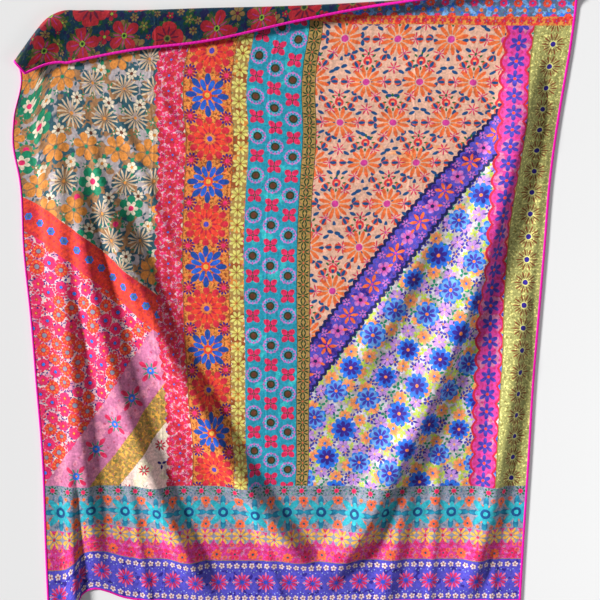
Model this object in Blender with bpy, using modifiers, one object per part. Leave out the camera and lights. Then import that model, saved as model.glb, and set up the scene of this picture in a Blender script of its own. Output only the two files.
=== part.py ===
"""A throw blanket laid out face up, with its top edge turned over onto the front.

The cloth is one plush sheet. Its folds are low ridges that fan from the two top
corners, and it lies flat between them. A narrow edging is bound round its whole rim.
Lengths are in metres, x runs across the blanket, y towards its top edge, z up.
"""

from collections import namedtuple

import bmesh
import bpy
import numpy as np

# Driving sizes of the cloth and of its edging
FLAT_WIDTH = 1.27
FLAT_LENGTH = 1.52
CLOTH_THICKNESS = 0.0024
EDGING_WALL = 0.0008
EDGING_LEG = 0.004
CLEARANCE = 0.0003

# Colours as red, green and blue shares
PLUSH_COLOUR = (0.58, 0.33, 0.38)
EDGING_COLOUR = (0.83, 0.02, 0.40)

# The turned edge: how far it stays off the cloth below, and how soon it settles there
LAP_HEIGHT = 0.0075
SETTLE_LENGTH = 0.07
# The most of the turned cloth that the roll may take where little is turned
ROLL_SHARE = 0.7

# The rim is lifted onto the edging over this width, from a narrow margin inwards
MARGIN = 0.005
RIM_SLOPE_WIDTH = 0.022

# Grid of the sheet
COLUMNS = 66
BODY_ROWS = 30
ROLL_ROWS = 6
LAP_ROWS = 3

# The two sides of the laid out cloth
Side = namedtuple("Side", "y left right")
SIDES = [
    Side(-0.86, -0.634, 0.552),
    Side(-0.64, -0.632, 0.554),
    Side(-0.37, -0.628, 0.558),
    Side(-0.20, -0.633, 0.560),
    Side(-0.05, -0.637, 0.565),
    Side(0.12, -0.645, 0.571),
    Side(0.28, -0.645, 0.576),
    Side(0.37, -0.656, 0.583),
    Side(0.42, -0.651, 0.588),
    Side(0.52, -0.629, 0.600),
    Side(0.57, -0.641, 0.606),
    Side(0.72, -0.645, 0.619),
]

# The turned edge, by the share of the width from the left. fold is where the cloth
# starts to rise, turned the length of cloth past that line, radius the roll's, lean how
# far the roll points left of straight up the blanket, in radians, and drawn how far the
# cloth there is pulled to the left
Turn = namedtuple("Turn", "share fold turned radius lean drawn")
TURNS = [
    Turn(0.00, 0.541, 0.055, 0.009, 0.70, 0.000),
    Turn(0.03, 0.590, 0.085, 0.009, 0.50, 0.014),
    Turn(0.06, 0.632, 0.118, 0.009, 0.25, 0.032),
    Turn(0.08, 0.645, 0.130, 0.009, 0.10, 0.034),
    Turn(0.12, 0.648, 0.124, 0.009, 0.03, 0.028),
    Turn(0.20, 0.648, 0.106, 0.009, 0.00, 0.012),
    Turn(0.34, 0.653, 0.090, 0.009, 0.00, 0.000),
    Turn(0.50, 0.658, 0.053, 0.009, 0.00, 0.000),
    Turn(0.62, 0.664, 0.034, 0.010, 0.00, 0.000),
    Turn(0.70, 0.667, 0.031, 0.013, 0.00, 0.000),
    Turn(0.78, 0.667, 0.030, 0.020, 0.00, 0.000),
    Turn(0.86, 0.665, 0.030, 0.032, 0.00, 0.000),
    Turn(1.00, 0.660, 0.030, 0.070, 0.00, 0.000),
]
# The pull to the left is full at this height up the blanket and gone this far below it
DRAWN_FULL_Y = 0.60
DRAWN_FADE = 0.30

# The bottom edge, with its step beside the small pleat on the left
Hem = namedtuple("Hem", "share y")
BOTTOM = [
    Hem(0.00, -0.822),
    Hem(0.040, -0.812),
    Hem(0.062, -0.780),
    Hem(0.085, -0.748),
    Hem(0.108, -0.737),
    Hem(0.13, -0.743),
    Hem(0.16, -0.758),
    Hem(0.26, -0.770),
    Hem(0.50, -0.777),
    Hem(0.76, -0.770),
    Hem(1.00, -0.769),
]

# The folds. Each is a ridge from top to end, with its crest's x at both and the pull
# between them, its rise, its reach on either side, and the shares that fade in and out
Fold = namedtuple("Fold", "top end x_top x_pull x_end rise left right fade_in fade_out")
FOLDS = [
    Fold(0.50, -0.80, -0.560, -0.562, -0.490, 0.016, 0.050, 0.036, 0.22, 0.25),
    Fold(0.44, -0.80, -0.520, -0.519, -0.207, 0.023, 0.060, 0.040, 0.24, 0.12),
    Fold(0.36, -0.76, -0.470, -0.355, 0.080, 0.025, 0.070, 0.044, 0.24, 0.14),
    Fold(-0.30, -0.86, -0.556, -0.560, -0.562, 0.014, 0.036, 0.016, 0.40, 0.00),
    Fold(0.62, -0.78, 0.535, 0.455, 0.040, 0.029, 0.080, 0.042, 0.16, 0.14),
    Fold(0.10, -0.80, 0.522, 0.520, 0.410, 0.018, 0.052, 0.034, 0.30, 0.16),
    Fold(0.30, -0.32, 0.345, 0.245, 0.060, 0.011, 0.060, 0.045, 0.40, 0.45),
    Fold(-0.38, -0.80, 0.270, 0.250, 0.200, 0.010, 0.045, 0.040, 0.35, 0.14),
]


def through(at, places, values):
    """A smooth curve through a table: cubic pieces whose slopes are those of the
    chords between each point's two neighbours."""
    places, values = np.asarray(places, float), np.asarray(values, float)
    slopes = np.gradient(values, places)
    at = np.clip(at, places[0], places[-1])
    k = np.clip(np.searchsorted(places, at) - 1, 0, len(places) - 2)
    step = places[k + 1] - places[k]
    f = (at - places[k]) / step
    rise = values[k + 1] - values[k]
    start, finish = slopes[k] * step, slopes[k + 1] * step
    bend = f * (1 - f) * ((1 - f) * (start - rise) - f * (finish - rise))
    return values[k] + f * rise + bend


def ease(x):
    """0 up to 0, 1 from 1 on, and a smooth step between."""
    x = np.clip(x, 0, 1)
    return x * x * (3 - 2 * x)


def column(table, name):
    return [getattr(row, name) for row in table]


def fold_height(x, y):
    """Height of all folds at a plan point: each is a squared cosine across its
    crest, wider on its left, times a smooth fade towards both of its ends."""
    height = np.zeros_like(x)
    for f in FOLDS:
        down = (f.top - y) / (f.top - f.end)
        share = np.clip(down, 0, 1)
        back = 1 - share
        crest = back**2 * f.x_top + 2 * share * back * f.x_pull + share**2 * f.x_end
        run = 2 * (back * (f.x_pull - f.x_top) + share * (f.x_end - f.x_pull))
        upright = 1 / np.hypot(1, run / (f.top - f.end))
        off = (x - crest) * upright
        across = np.clip(off / np.where(off < 0, f.left, f.right), -1, 1)
        fade = ease(share / f.fade_in)
        if f.fade_out:
            fade = fade * ease(back / f.fade_out)
        height += f.rise * np.cos(across * np.pi / 2) ** 2 * fade
    return height


def rim_lift(across, along):
    """How far the cloth is raised by the edging under its rim, from its distance
    to the nearest side edge and to the nearest end edge."""
    inwards = np.minimum(across, along) - MARGIN
    return (CLEARANCE + EDGING_WALL) * (1 - ease(inwards / RIM_SLOPE_WIDTH))


def sheet_points():
    """Points of the cloth's middle surface, from the bottom edge up over the fold
    to the free edge of the lap, as an array of rows, columns and x, y, z."""
    inner = np.linspace(MARGIN, FLAT_WIDTH - MARGIN, COLUMNS - 1)
    across = np.concatenate([[0], inner, [FLAT_WIDTH]])
    share = across / FLAT_WIDTH
    turn = {
        name: through(share, column(TURNS, "share"), column(TURNS, name))
        for name in Turn._fields[1:]
    }
    hem = through(share, column(BOTTOM, "share"), column(BOTTOM, "y"))

    # The body's rows, by the share of the way from the bottom edge to the fold
    length = turn["fold"] - hem
    narrow = MARGIN / length
    steps = np.linspace(0, 1, BODY_ROWS)[:, None]
    up = np.vstack([np.zeros_like(share), narrow + (1 - narrow) * steps])
    body_y = hem + length * up

    # The turned rows, by the length of cloth past the fold
    half_turn = np.pi * turn["radius"]
    roll = np.minimum(half_turn, ROLL_SHARE * (turn["turned"] - MARGIN))
    roll_steps = np.linspace(0, 1, ROLL_ROWS + 1)[1:, None]
    lap_steps = np.linspace(0, 1, LAP_ROWS + 1)[1:, None]
    last = turn["turned"] - MARGIN
    past = np.vstack([roll * roll_steps, roll + (last - roll) * lap_steps, turn["turned"]])
    angle = np.minimum(past, half_turn) / turn["radius"]
    beyond = np.maximum(past - half_turn, 0)
    reach = turn["radius"] * np.sin(angle) - beyond
    full = 2 * turn["radius"]
    settle = (full - LAP_HEIGHT) * ease(beyond / SETTLE_LENGTH)
    lift = np.where(beyond > 0, full - settle, turn["radius"] * (1 - np.cos(angle)))

    # Both in plan, then with their heights
    y_start = np.vstack([body_y, np.broadcast_to(turn["fold"], past.shape)])
    left = through(y_start, column(SIDES, "y"), column(SIDES, "left"))
    right = through(y_start, column(SIDES, "y"), column(SIDES, "right"))
    drawn = turn["drawn"] * ease((y_start - DRAWN_FULL_Y) / DRAWN_FADE + 1)
    x = left + (right - left) * share - drawn
    y = y_start.copy()
    rows = len(body_y)
    x[rows:] -= np.sin(turn["lean"]) * reach
    y[rows:] += np.cos(turn["lean"]) * reach
    to_side = np.minimum(across, FLAT_WIDTH - across) + np.zeros_like(x)
    to_end = np.vstack([length * up, turn["turned"] - past])
    z = CLOTH_THICKNESS / 2 + fold_height(x, y) + rim_lift(to_side, to_end)
    z[rows:] += lift
    return np.stack([x, y, z], axis=-1)


def coloured(name, colour, roughness):
    material = bpy.data.materials.new(name)
    material.use_nodes = True
    shader = material.node_tree.nodes["Principled BSDF"]
    shader.inputs["Base Color"].default_value = (*colour, 1)
    shader.inputs["Roughness"].default_value = roughness
    shader.inputs["Metallic"].default_value = 0
    material.diffuse_color = (*colour, 1)
    return material


def linked(name, mesh, material, collection):
    mesh.materials.append(material)
    mesh.shade_smooth()
    part = bpy.data.objects.new(name, mesh)
    collection.objects.link(part)
    return part


def sheet(points, collection):
    """The blanket: the middle surface's grid, made solid to the cloth's thickness."""
    rows, columns = points.shape[:2]
    shape = bmesh.new()
    bmesh.ops.create_grid(shape, x_segments=columns - 1, y_segments=rows - 1, size=1)
    # Cells left of the middle are split the other way, along the folds that run there.
    # The rim's cells, under the edging, and the turned ones are all split alike
    left, inside = 2 / (columns - 1), 2 / (rows - 1)
    fold = -1 + BODY_ROWS * inside
    places = [(face, face.calc_center_median()) for face in shape.faces]
    falling = [face for face, at in places if left - 1 < at.x < 0 and inside - 1 < at.y < fold]
    bmesh.ops.triangulate(shape, faces=falling, quad_method="ALTERNATE")
    rest = [face for face in shape.faces if len(face.verts) == 4]
    bmesh.ops.triangulate(shape, faces=rest, quad_method="FIXED")
    mesh = bpy.data.meshes.new("blanket")
    shape.to_mesh(mesh)
    shape.free()
    mesh.vertices.foreach_set("co", points.ravel())
    mesh.update()
    plush = coloured("plush", PLUSH_COLOUR, 0.75)
    blanket = linked("blanket", mesh, plush, collection)
    thick = blanket.modifiers.new("thickness", "SOLIDIFY")
    thick.thickness = CLOTH_THICKNESS
    thick.offset = 0
    return blanket


def unit(v):
    return v / np.linalg.norm(v, axis=-1, keepdims=True)


def rim_stations(rows, columns):
    """The rim's grid points in order, as their rows and columns: along the bottom
    edge, up the right side, back along the free edge and down the left side."""
    end, side = rows - 1, columns - 1
    across, up = np.arange(side), np.arange(end)
    row = np.concatenate([0 * across, up, 0 * across + end, end - up])
    place = np.concatenate([across, 0 * up + side, side - across, 0 * up])
    return row, place


# The sides of the edging's section that lie on the cloth, by their place in it
UNDER_CLOTH = 4
OVER_CLOTH = 6


def edging_mesh(points, normals):
    """A channel round the rim: at each rim point a U-shaped section, whose legs
    reach in over both faces of the cloth, joined to the next section by faces."""
    rows, columns = points.shape[:2]
    row, place = rim_stations(rows, columns)
    in_row = np.clip(row, 1, rows - 2)
    in_place = np.clip(place, 1, columns - 2)
    at = points[row, place]
    inwards = np.zeros_like(at)
    for next_row, next_place in ((in_row, place), (row, in_place)):
        moved = (next_row != row) | (next_place != place)
        off = points[next_row[moved], next_place[moved]] - at[moved]
        inwards[moved] += unit(off)
    at_rim = normals[row, place]
    at_leg = unit(at_rim + (normals[in_row, in_place] - at_rim) * EDGING_LEG / MARGIN)

    # Where the rim runs aslant of the grid, the back goes further out along it
    tangent = unit(np.roll(at, -1, axis=0) - np.roll(at, 1, axis=0))
    square = np.linalg.norm(np.cross(tangent, unit(inwards)), axis=1, keepdims=True)
    corner = (in_row != row) & (in_place != place)
    square[corner] = 1

    inside = CLOTH_THICKNESS / 2 + CLEARANCE
    outside = inside + EDGING_WALL
    lining = -CLEARANCE / square
    back = -(CLEARANCE + EDGING_WALL) / square
    section = [
        (EDGING_LEG, outside, at_leg),
        (back, outside, at_rim),
        (back, -outside, at_rim),
        (EDGING_LEG, -outside, at_leg),
        (EDGING_LEG, -inside, at_leg),
        (lining, -inside, at_rim),
        (lining, inside, at_rim),
        (EDGING_LEG, inside, at_leg),
    ]
    places = np.stack([at + a * inwards + n * way for a, n, way in section], axis=1)

    # Faces run from each section to the next. The two that lie on the cloth are
    # split along the same diagonal as the cloth's cells beneath them
    count, corners = places.shape[:2]
    s, c = (m.ravel() for m in np.meshgrid(range(count), range(corners), indexing="ij"))
    s_next, c_next = (s + 1) % count, (c + 1) % corners
    near, far = s * corners + c, s_next * corners + c
    near_next, far_next = s * corners + c_next, s_next * corners + c_next
    along_end = row[s] == row[s_next]
    rising = np.where(c == UNDER_CLOTH, ~along_end, np.where(c == OVER_CLOTH, along_end, True))
    first = np.stack([near, far, np.where(rising, far_next, near_next)], axis=1)
    second = np.stack([np.where(rising, near, far), far_next, near_next], axis=1)
    mesh = bpy.data.meshes.new("edging")
    mesh.from_pydata(places.reshape(-1, 3), [], np.concatenate([first, second]).tolist())
    return mesh


def edging(points, cloth, collection):
    normals = np.empty(points.size)
    cloth.data.vertex_normals.foreach_get("vector", normals)
    mesh = edging_mesh(points, normals.reshape(points.shape))
    shape = bmesh.new()
    shape.from_mesh(mesh)
    bmesh.ops.recalc_face_normals(shape, faces=shape.faces)
    shape.to_mesh(mesh)
    shape.free()
    thread = coloured("edging_magenta", EDGING_COLOUR, 0.5)
    return linked("edging", mesh, thread, collection)


def centred(points):
    """The points moved so that the middle of the blanket's outline is at x = y = 0."""
    flat = points[..., :2]
    low, high = flat.min(axis=(0, 1)), flat.max(axis=(0, 1))
    points[..., :2] -= (low + high) / 2
    return points


def main():
    for old in list(bpy.data.objects):
        bpy.data.objects.remove(old, do_unlink=True)
    collection = bpy.data.collections.new("throw_blanket")
    bpy.context.scene.collection.children.link(collection)
    points = centred(sheet_points())
    blanket = sheet(points, collection)
    edging(points, blanket, collection)


main()
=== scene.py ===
"""A throw blanket laid out face up, its top edge turned over onto the front.

The cloth is one plush sheet with a printed front and a printed reverse. Its surface
is a function of two lengths on the flat cloth: across, from the left side, and up,
from the bottom edge. Lengths are in metres, x runs across, y towards the top edge,
z up. Prints are worked out from the same two lengths, so they follow the folds.
"""

import math
from collections import namedtuple

import bpy
import numpy as np
from mathutils import Matrix


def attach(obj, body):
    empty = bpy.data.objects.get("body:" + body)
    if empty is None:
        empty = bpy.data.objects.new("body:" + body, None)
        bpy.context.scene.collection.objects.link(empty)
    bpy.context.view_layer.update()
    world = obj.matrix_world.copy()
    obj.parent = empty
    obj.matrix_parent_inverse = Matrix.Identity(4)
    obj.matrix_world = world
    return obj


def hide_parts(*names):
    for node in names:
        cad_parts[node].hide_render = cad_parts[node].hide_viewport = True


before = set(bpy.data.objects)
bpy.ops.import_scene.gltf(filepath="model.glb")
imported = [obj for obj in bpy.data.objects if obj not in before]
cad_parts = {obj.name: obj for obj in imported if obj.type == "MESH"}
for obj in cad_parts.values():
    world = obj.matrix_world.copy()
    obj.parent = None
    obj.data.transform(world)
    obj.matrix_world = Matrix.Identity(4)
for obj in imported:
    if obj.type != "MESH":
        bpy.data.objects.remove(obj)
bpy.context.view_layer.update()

# Driving sizes of the cloth and of its edging, as in the part
FLAT_WIDTH = 1.27
FLAT_LENGTH = 1.52
CLOTH_THICKNESS = 0.0024
EDGING_WALL = 0.0008
EDGING_LEG = 0.004
CLEARANCE = 0.0003
# How high the lap lies over the cloth below it, how soon it comes down to that past the
# roll, and how much of the turned strip the roll takes at most
LAP_HEIGHT = 0.0075
SETTLE_LENGTH = 0.07
ROLL_SHARE = 0.7
# The strip at the rim that the edging binds, and how far in its lift is felt
MARGIN = 0.005
RIM_SLOPE_WIDTH = 0.022

# The fine grid of the sheet
COLUMNS = 200
BODY_ROWS = 206
ROLL_ROWS = 16
LAP_ROWS = 18

# Passes in which the columns are evened out over the folds
EVENING_PASSES = 4

# The print runs level across the blanket, its bottom edge this far below y = 0. The
# hem's and the fold's own lines only bend it within these lengths of them, and at the
# fold it is gathered by this much at most
PRINT_Y = 0.770
HEM_REACH = 0.32
FOLD_REACH = 0.50
MOST_SLACK = 0.055

# The two sides of the laid out cloth
Side = namedtuple("Side", "y left right")
SIDES = [
    Side(-0.86, -0.634, 0.552),
    Side(-0.64, -0.632, 0.554),
    Side(-0.37, -0.628, 0.558),
    Side(-0.20, -0.633, 0.560),
    Side(-0.05, -0.637, 0.565),
    Side(0.12, -0.645, 0.571),
    Side(0.28, -0.645, 0.576),
    Side(0.37, -0.656, 0.583),
    Side(0.42, -0.651, 0.588),
    Side(0.52, -0.629, 0.600),
    Side(0.57, -0.641, 0.606),
    Side(0.72, -0.645, 0.619),
]

# The turned edge, by the share of the width from the left. fold is where the cloth
# starts to rise, turned the length of cloth past that line, radius the roll's, lean how
# far the roll points left of straight up the blanket, in radians, and drawn how far the
# cloth there is pulled to the left
Turn = namedtuple("Turn", "share fold turned radius lean drawn")
TURNS = [
    Turn(0.00, 0.541, 0.055, 0.009, 0.70, 0.000),
    Turn(0.03, 0.590, 0.085, 0.009, 0.50, 0.014),
    Turn(0.06, 0.632, 0.118, 0.009, 0.25, 0.032),
    Turn(0.08, 0.645, 0.130, 0.009, 0.10, 0.034),
    Turn(0.12, 0.648, 0.124, 0.009, 0.03, 0.028),
    Turn(0.20, 0.648, 0.106, 0.009, 0.00, 0.012),
    Turn(0.34, 0.653, 0.090, 0.009, 0.00, 0.000),
    Turn(0.50, 0.658, 0.053, 0.009, 0.00, 0.000),
    Turn(0.62, 0.664, 0.034, 0.010, 0.00, 0.000),
    Turn(0.70, 0.667, 0.031, 0.013, 0.00, 0.000),
    Turn(0.78, 0.667, 0.030, 0.020, 0.00, 0.000),
    Turn(0.86, 0.665, 0.030, 0.032, 0.00, 0.000),
    Turn(1.00, 0.660, 0.030, 0.070, 0.00, 0.000),
]
# From where up the cloth is drawn in full, and over what length below that it sets in
DRAWN_FULL_Y = 0.60
DRAWN_FADE = 0.30

# The bottom edge, with its step beside the small pleat on the left
Hem = namedtuple("Hem", "share y")
BOTTOM = [
    Hem(0.00, -0.822),
    Hem(0.040, -0.812),
    Hem(0.062, -0.780),
    Hem(0.085, -0.748),
    Hem(0.108, -0.737),
    Hem(0.13, -0.743),
    Hem(0.16, -0.758),
    Hem(0.26, -0.770),
    Hem(0.50, -0.777),
    Hem(0.76, -0.770),
    Hem(1.00, -0.769),
]

# The folds. Each is a ridge from top to end, with its crest's x at both and the pull
# between them, its rise, its reach on either side, and the shares that fade in and out
Fold = namedtuple("Fold", "top end x_top x_pull x_end rise left right fade_in fade_out")
FOLDS = [
    Fold(0.50, -0.80, -0.560, -0.562, -0.490, 0.016, 0.050, 0.036, 0.22, 0.25),
    Fold(0.44, -0.80, -0.520, -0.519, -0.207, 0.023, 0.060, 0.040, 0.24, 0.12),
    Fold(0.36, -0.76, -0.470, -0.355, 0.080, 0.025, 0.070, 0.044, 0.24, 0.14),
    Fold(-0.30, -0.86, -0.556, -0.560, -0.562, 0.014, 0.036, 0.016, 0.40, 0.00),
    Fold(0.62, -0.78, 0.535, 0.455, 0.040, 0.029, 0.080, 0.042, 0.16, 0.14),
    Fold(0.10, -0.80, 0.522, 0.520, 0.410, 0.018, 0.052, 0.034, 0.30, 0.16),
    Fold(0.30, -0.32, 0.345, 0.245, 0.060, 0.011, 0.060, 0.045, 0.40, 0.45),
    Fold(-0.38, -0.80, 0.270, 0.250, 0.200, 0.010, 0.045, 0.040, 0.35, 0.14),
]

# The low wrinkles that the sheet has between its folds
WRINKLES = [
    Fold(0.50, -0.05, -0.600, -0.592, -0.575, 0.0045, 0.016, 0.013, 0.30, 0.40),
    Fold(0.50, -0.30, -0.505, -0.425, -0.300, 0.0050, 0.020, 0.015, 0.25, 0.40),
    Fold(0.54, 0.00, -0.445, -0.360, -0.240, 0.0045, 0.022, 0.016, 0.30, 0.50),
    Fold(0.56, 0.22, -0.360, -0.280, -0.190, 0.0035, 0.022, 0.018, 0.40, 0.50),
    Fold(0.10, -0.55, -0.330, -0.260, -0.110, 0.0040, 0.022, 0.018, 0.40, 0.40),
    Fold(-0.30, -0.82, -0.430, -0.410, -0.370, 0.0045, 0.020, 0.016, 0.40, 0.10),
    Fold(-0.40, -0.82, -0.140, -0.090, -0.030, 0.0040, 0.022, 0.018, 0.40, 0.10),
    Fold(0.60, -0.25, 0.580, 0.548, 0.520, 0.0045, 0.016, 0.014, 0.25, 0.40),
    Fold(0.50, -0.25, 0.470, 0.400, 0.290, 0.0045, 0.022, 0.016, 0.30, 0.50),
    Fold(0.20, -0.30, 0.260, 0.190, 0.080, 0.0030, 0.026, 0.020, 0.40, 0.50),
    Fold(-0.30, -0.82, 0.335, 0.340, 0.320, 0.0045, 0.020, 0.016, 0.40, 0.10),
    Fold(-0.45, -0.82, 0.480, 0.490, 0.475, 0.0040, 0.018, 0.014, 0.40, 0.10),
]


# Shape of the cloth


def through(at, places, values):
    """A smooth curve through a table: cubic pieces whose slopes are those of the
    chords between each point's two neighbours."""
    places, values = np.asarray(places, float), np.asarray(values, float)
    slopes = np.gradient(values, places)
    at = np.clip(at, places[0], places[-1])
    k = np.clip(np.searchsorted(places, at) - 1, 0, len(places) - 2)
    step = places[k + 1] - places[k]
    f = (at - places[k]) / step
    rise = values[k + 1] - values[k]
    start, finish = slopes[k] * step, slopes[k + 1] * step
    bend = f * (1 - f) * ((1 - f) * (start - rise) - f * (finish - rise))
    return values[k] + f * rise + bend


def ease(x):
    """0 up to 0, 1 from 1 on, and a smooth step between."""
    x = np.clip(x, 0, 1)
    return x * x * (3 - 2 * x)


def read_off(table, name, at):
    """A column of a table as a smooth curve over the table's first column."""
    return through(at, [row[0] for row in table], [getattr(row, name) for row in table])


def fold_height(x, y):
    """Height of all folds at a plan point: each is a squared cosine across its
    crest, wider on its left, times a smooth fade towards both of its ends. The crest is
    a curve of the second order, and the distance to it is taken square to its run."""
    height = np.zeros_like(x)
    for f in FOLDS + WRINKLES:
        down = (f.top - y) / (f.top - f.end)
        share = np.clip(down, 0, 1)
        back = 1 - share
        crest = back**2 * f.x_top + 2 * share * back * f.x_pull + share**2 * f.x_end
        run = 2 * (back * (f.x_pull - f.x_top) + share * (f.x_end - f.x_pull))
        square = 1 / np.hypot(1, run / (f.top - f.end))
        off = (x - crest) * square
        across = np.clip(off / np.where(off < 0, f.left, f.right), -1, 1)
        fade = ease(share / f.fade_in)
        if f.fade_out:
            fade = fade * ease(back / f.fade_out)
        height += f.rise * np.cos(across * np.pi / 2) ** 2 * fade
    return height


def rim_lift(across, along):
    """How far the cloth is raised by the edging under its rim, from its distance
    to the nearest side edge and to the nearest end edge."""
    inwards = np.minimum(across, along) - MARGIN
    return (CLEARANCE + EDGING_WALL) * (1 - ease(inwards / RIM_SLOPE_WIDTH))


def evened(x, y, share):
    """x moved along each row until equal widths of cloth have equal lengths there,
    ridges included: in each pass by what a point's length from the left misses."""
    for _ in range(EVENING_PASSES):
        step = np.hypot(np.diff(x, axis=1), np.diff(fold_height(x, y), axis=1))
        reached = np.hstack([np.zeros_like(x[:, :1]), np.cumsum(step, axis=1)])
        x = x + share * reached[:, -1:] - reached
    return x


def turned_rows(turn):
    """The rows past the fold: the length of cloth past it, how far each point reaches
    beyond the fold and how high it lies. They go round the roll and back as the lap."""
    half_turn = np.pi * turn["radius"]
    last = turn["turned"] - MARGIN
    roll = np.minimum(half_turn, ROLL_SHARE * last)
    roll_steps = np.linspace(0, 1, ROLL_ROWS + 1)[1:, None]
    lap_steps = np.linspace(0, 1, LAP_ROWS + 1)[1:, None]
    past = np.vstack([roll * roll_steps, roll + (last - roll) * lap_steps, turn["turned"]])
    angle = np.minimum(past, half_turn) / turn["radius"]
    beyond = np.maximum(past - half_turn, 0)
    reach = turn["radius"] * np.sin(angle) - beyond
    full = 2 * turn["radius"]
    settle = (full - LAP_HEIGHT) * ease(beyond / SETTLE_LENGTH)
    lift = np.where(beyond > 0, full - settle, turn["radius"] * (1 - np.cos(angle)))
    return past, reach, lift


def print_up(hem, body_y, past, turn):
    """How far up the print each point is: level across the blanket, but bent to the
    hem's and the fold's own lines near them, and past the fold by its share of the
    turned strip."""
    at_fold = np.minimum(FLAT_LENGTH - turn["turned"], turn["fold"] + PRINT_Y + MOST_SLACK)
    at_hem = -(hem + PRINT_Y) * (1 - ease((body_y - hem) / HEM_REACH))
    near_fold = 1 - ease((turn["fold"] - body_y) / FOLD_REACH)
    on_body = body_y + PRINT_Y + at_hem + (at_fold - turn["fold"] - PRINT_Y) * near_fold
    on_turn = at_fold + (FLAT_LENGTH - at_fold) * past / turn["turned"]
    return np.vstack([on_body, on_turn])


def sheet_grid():
    """The cloth's middle surface from the bottom edge over the fold to the free edge
    of the lap, as rows, columns and x, y, z, with the lengths across and up."""
    inner = np.linspace(MARGIN, FLAT_WIDTH - MARGIN, COLUMNS - 1)
    across = np.concatenate([[0], inner, [FLAT_WIDTH]])
    share = across / FLAT_WIDTH
    turn = {name: read_off(TURNS, name, share) for name in Turn._fields[1:]}
    hem = read_off(BOTTOM, "y", share)
    length = turn["fold"] - hem
    narrow = MARGIN / length
    steps = np.linspace(0, 1, BODY_ROWS)[:, None]
    up = np.vstack([np.zeros_like(share), narrow + (1 - narrow) * steps])
    body_y = hem + length * up
    past, reach, lift = turned_rows(turn)

    y_start = np.vstack([body_y, np.broadcast_to(turn["fold"], past.shape)])
    left, right = read_off(SIDES, "left", y_start), read_off(SIDES, "right", y_start)
    drawn = turn["drawn"] * ease((y_start - DRAWN_FULL_Y) / DRAWN_FADE + 1)
    x = evened(left + (right - left) * share - drawn, y_start, share)
    y = y_start.copy()
    rows = len(body_y)
    x[rows:] -= np.sin(turn["lean"]) * reach
    y[rows:] += np.cos(turn["lean"]) * reach
    to_side = np.minimum(across, FLAT_WIDTH - across) + np.zeros_like(x)
    to_end = np.vstack([length * up, turn["turned"] - past])
    z = CLOTH_THICKNESS / 2 + fold_height(x, y) + rim_lift(to_side, to_end)
    z[rows:] += lift
    flat = [np.broadcast_to(across, x.shape), print_up(hem, body_y, past, turn)]
    return np.stack([x, y, z], axis=-1), np.stack(flat, axis=-1)


def shift_to_middle(points):
    """How far the plan moves so that the middle of its outline is at x = y = 0."""
    plan = points[..., :2].reshape(-1, 2)
    return -(plan.min(axis=0) + plan.max(axis=0)) / 2


def unit(v):
    return v / np.linalg.norm(v, axis=-1, keepdims=True)


def grid_normals(points):
    """Unit normals of a grid of points, as the cross product of its two slopes."""
    return unit(np.cross(np.gradient(points, axis=1), np.gradient(points, axis=0)))


def grid_faces(rows, columns, start=0, flip=False):
    """Four-sided faces between the points of a grid, numbered row by row."""
    at = start + np.arange(rows * columns).reshape(rows, columns)
    near, far = at[:-1, :-1], at[:-1, 1:]
    above, beyond = at[1:, :-1], at[1:, 1:]
    order = (near, above, beyond, far) if flip else (near, far, beyond, above)
    return np.stack(order, axis=-1).reshape(-1, 4)


def rim_stations(rows, columns):
    """The rim's grid points in order, as their rows and columns: along the bottom
    edge, up the right side, back along the free edge and down the left side."""
    end, side = rows - 1, columns - 1
    across, up = np.arange(side), np.arange(end)
    row = np.concatenate([0 * across, up, 0 * across + end, end - up])
    column = np.concatenate([across, 0 * up + side, side - across, 0 * up])
    return row, column


def in_scene(name, data):
    """A new object with its data, linked to the scene."""
    made = bpy.data.objects.new(name, data)
    bpy.context.scene.collection.objects.link(made)
    return made


def mesh_piece(name, points, faces, materials, slots=None):
    """A smooth-shaded mesh object at the origin, from arrays of points and faces."""
    mesh = bpy.data.meshes.new(name)
    mesh.vertices.add(len(points))
    mesh.vertices.foreach_set("co", points.astype(np.float32).ravel())
    mesh.loops.add(faces.size)
    mesh.loops.foreach_set("vertex_index", faces.astype(np.int32).ravel())
    mesh.polygons.add(len(faces))
    starts = np.arange(0, faces.size, faces.shape[1], dtype=np.int32)
    mesh.polygons.foreach_set("loop_start", starts)
    for material in materials:
        mesh.materials.append(material)
    if slots is not None:
        mesh.polygons.foreach_set("material_index", slots.astype(np.int32))
    mesh.update(calc_edges=True)
    mesh.validate()
    mesh.shade_smooth()
    return in_scene(name, mesh)


def add_maps(piece, maps):
    """Gives a piece its maps, each with a place for every corner of every face."""
    for name, places in maps.items():
        layer = piece.data.uv_layers.new(name=name)
        layer.data.foreach_set("uv", places.astype(np.float32).ravel())


# The maps in metres that the prints and the thread read
CLOTH_MAP = "cloth"
THREAD_MAP = "thread"
# Margins of the bake map's parts, and where its strip for the rim starts and ends
MAP_MARGIN = 0.005
MAP_RIM = 0.99
MAP_TOP = 0.998


def bake_map(on_cloth, fronts, backs):
    """The front and the reverse side by side in the unit square, each as wide as half
    of it, and the rim's band of faces in a thin strip above them."""
    scale = np.array([0.5 - 2 * MAP_MARGIN, MAP_RIM - 3 * MAP_MARGIN])
    uv = on_cloth / (FLAT_WIDTH, FLAT_LENGTH) * scale + MAP_MARGIN
    uv[fronts : fronts + backs, :, 0] += 0.5
    band = np.arange(len(on_cloth) - fronts - backs)[:, None]
    along = (band + (1, 0, 0, 1)) / len(band)
    up = np.broadcast_to((MAP_RIM, MAP_RIM, MAP_TOP, MAP_TOP), along.shape)
    uv[fronts + backs :] = np.stack([along, up], axis=-1)
    return uv


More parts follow.
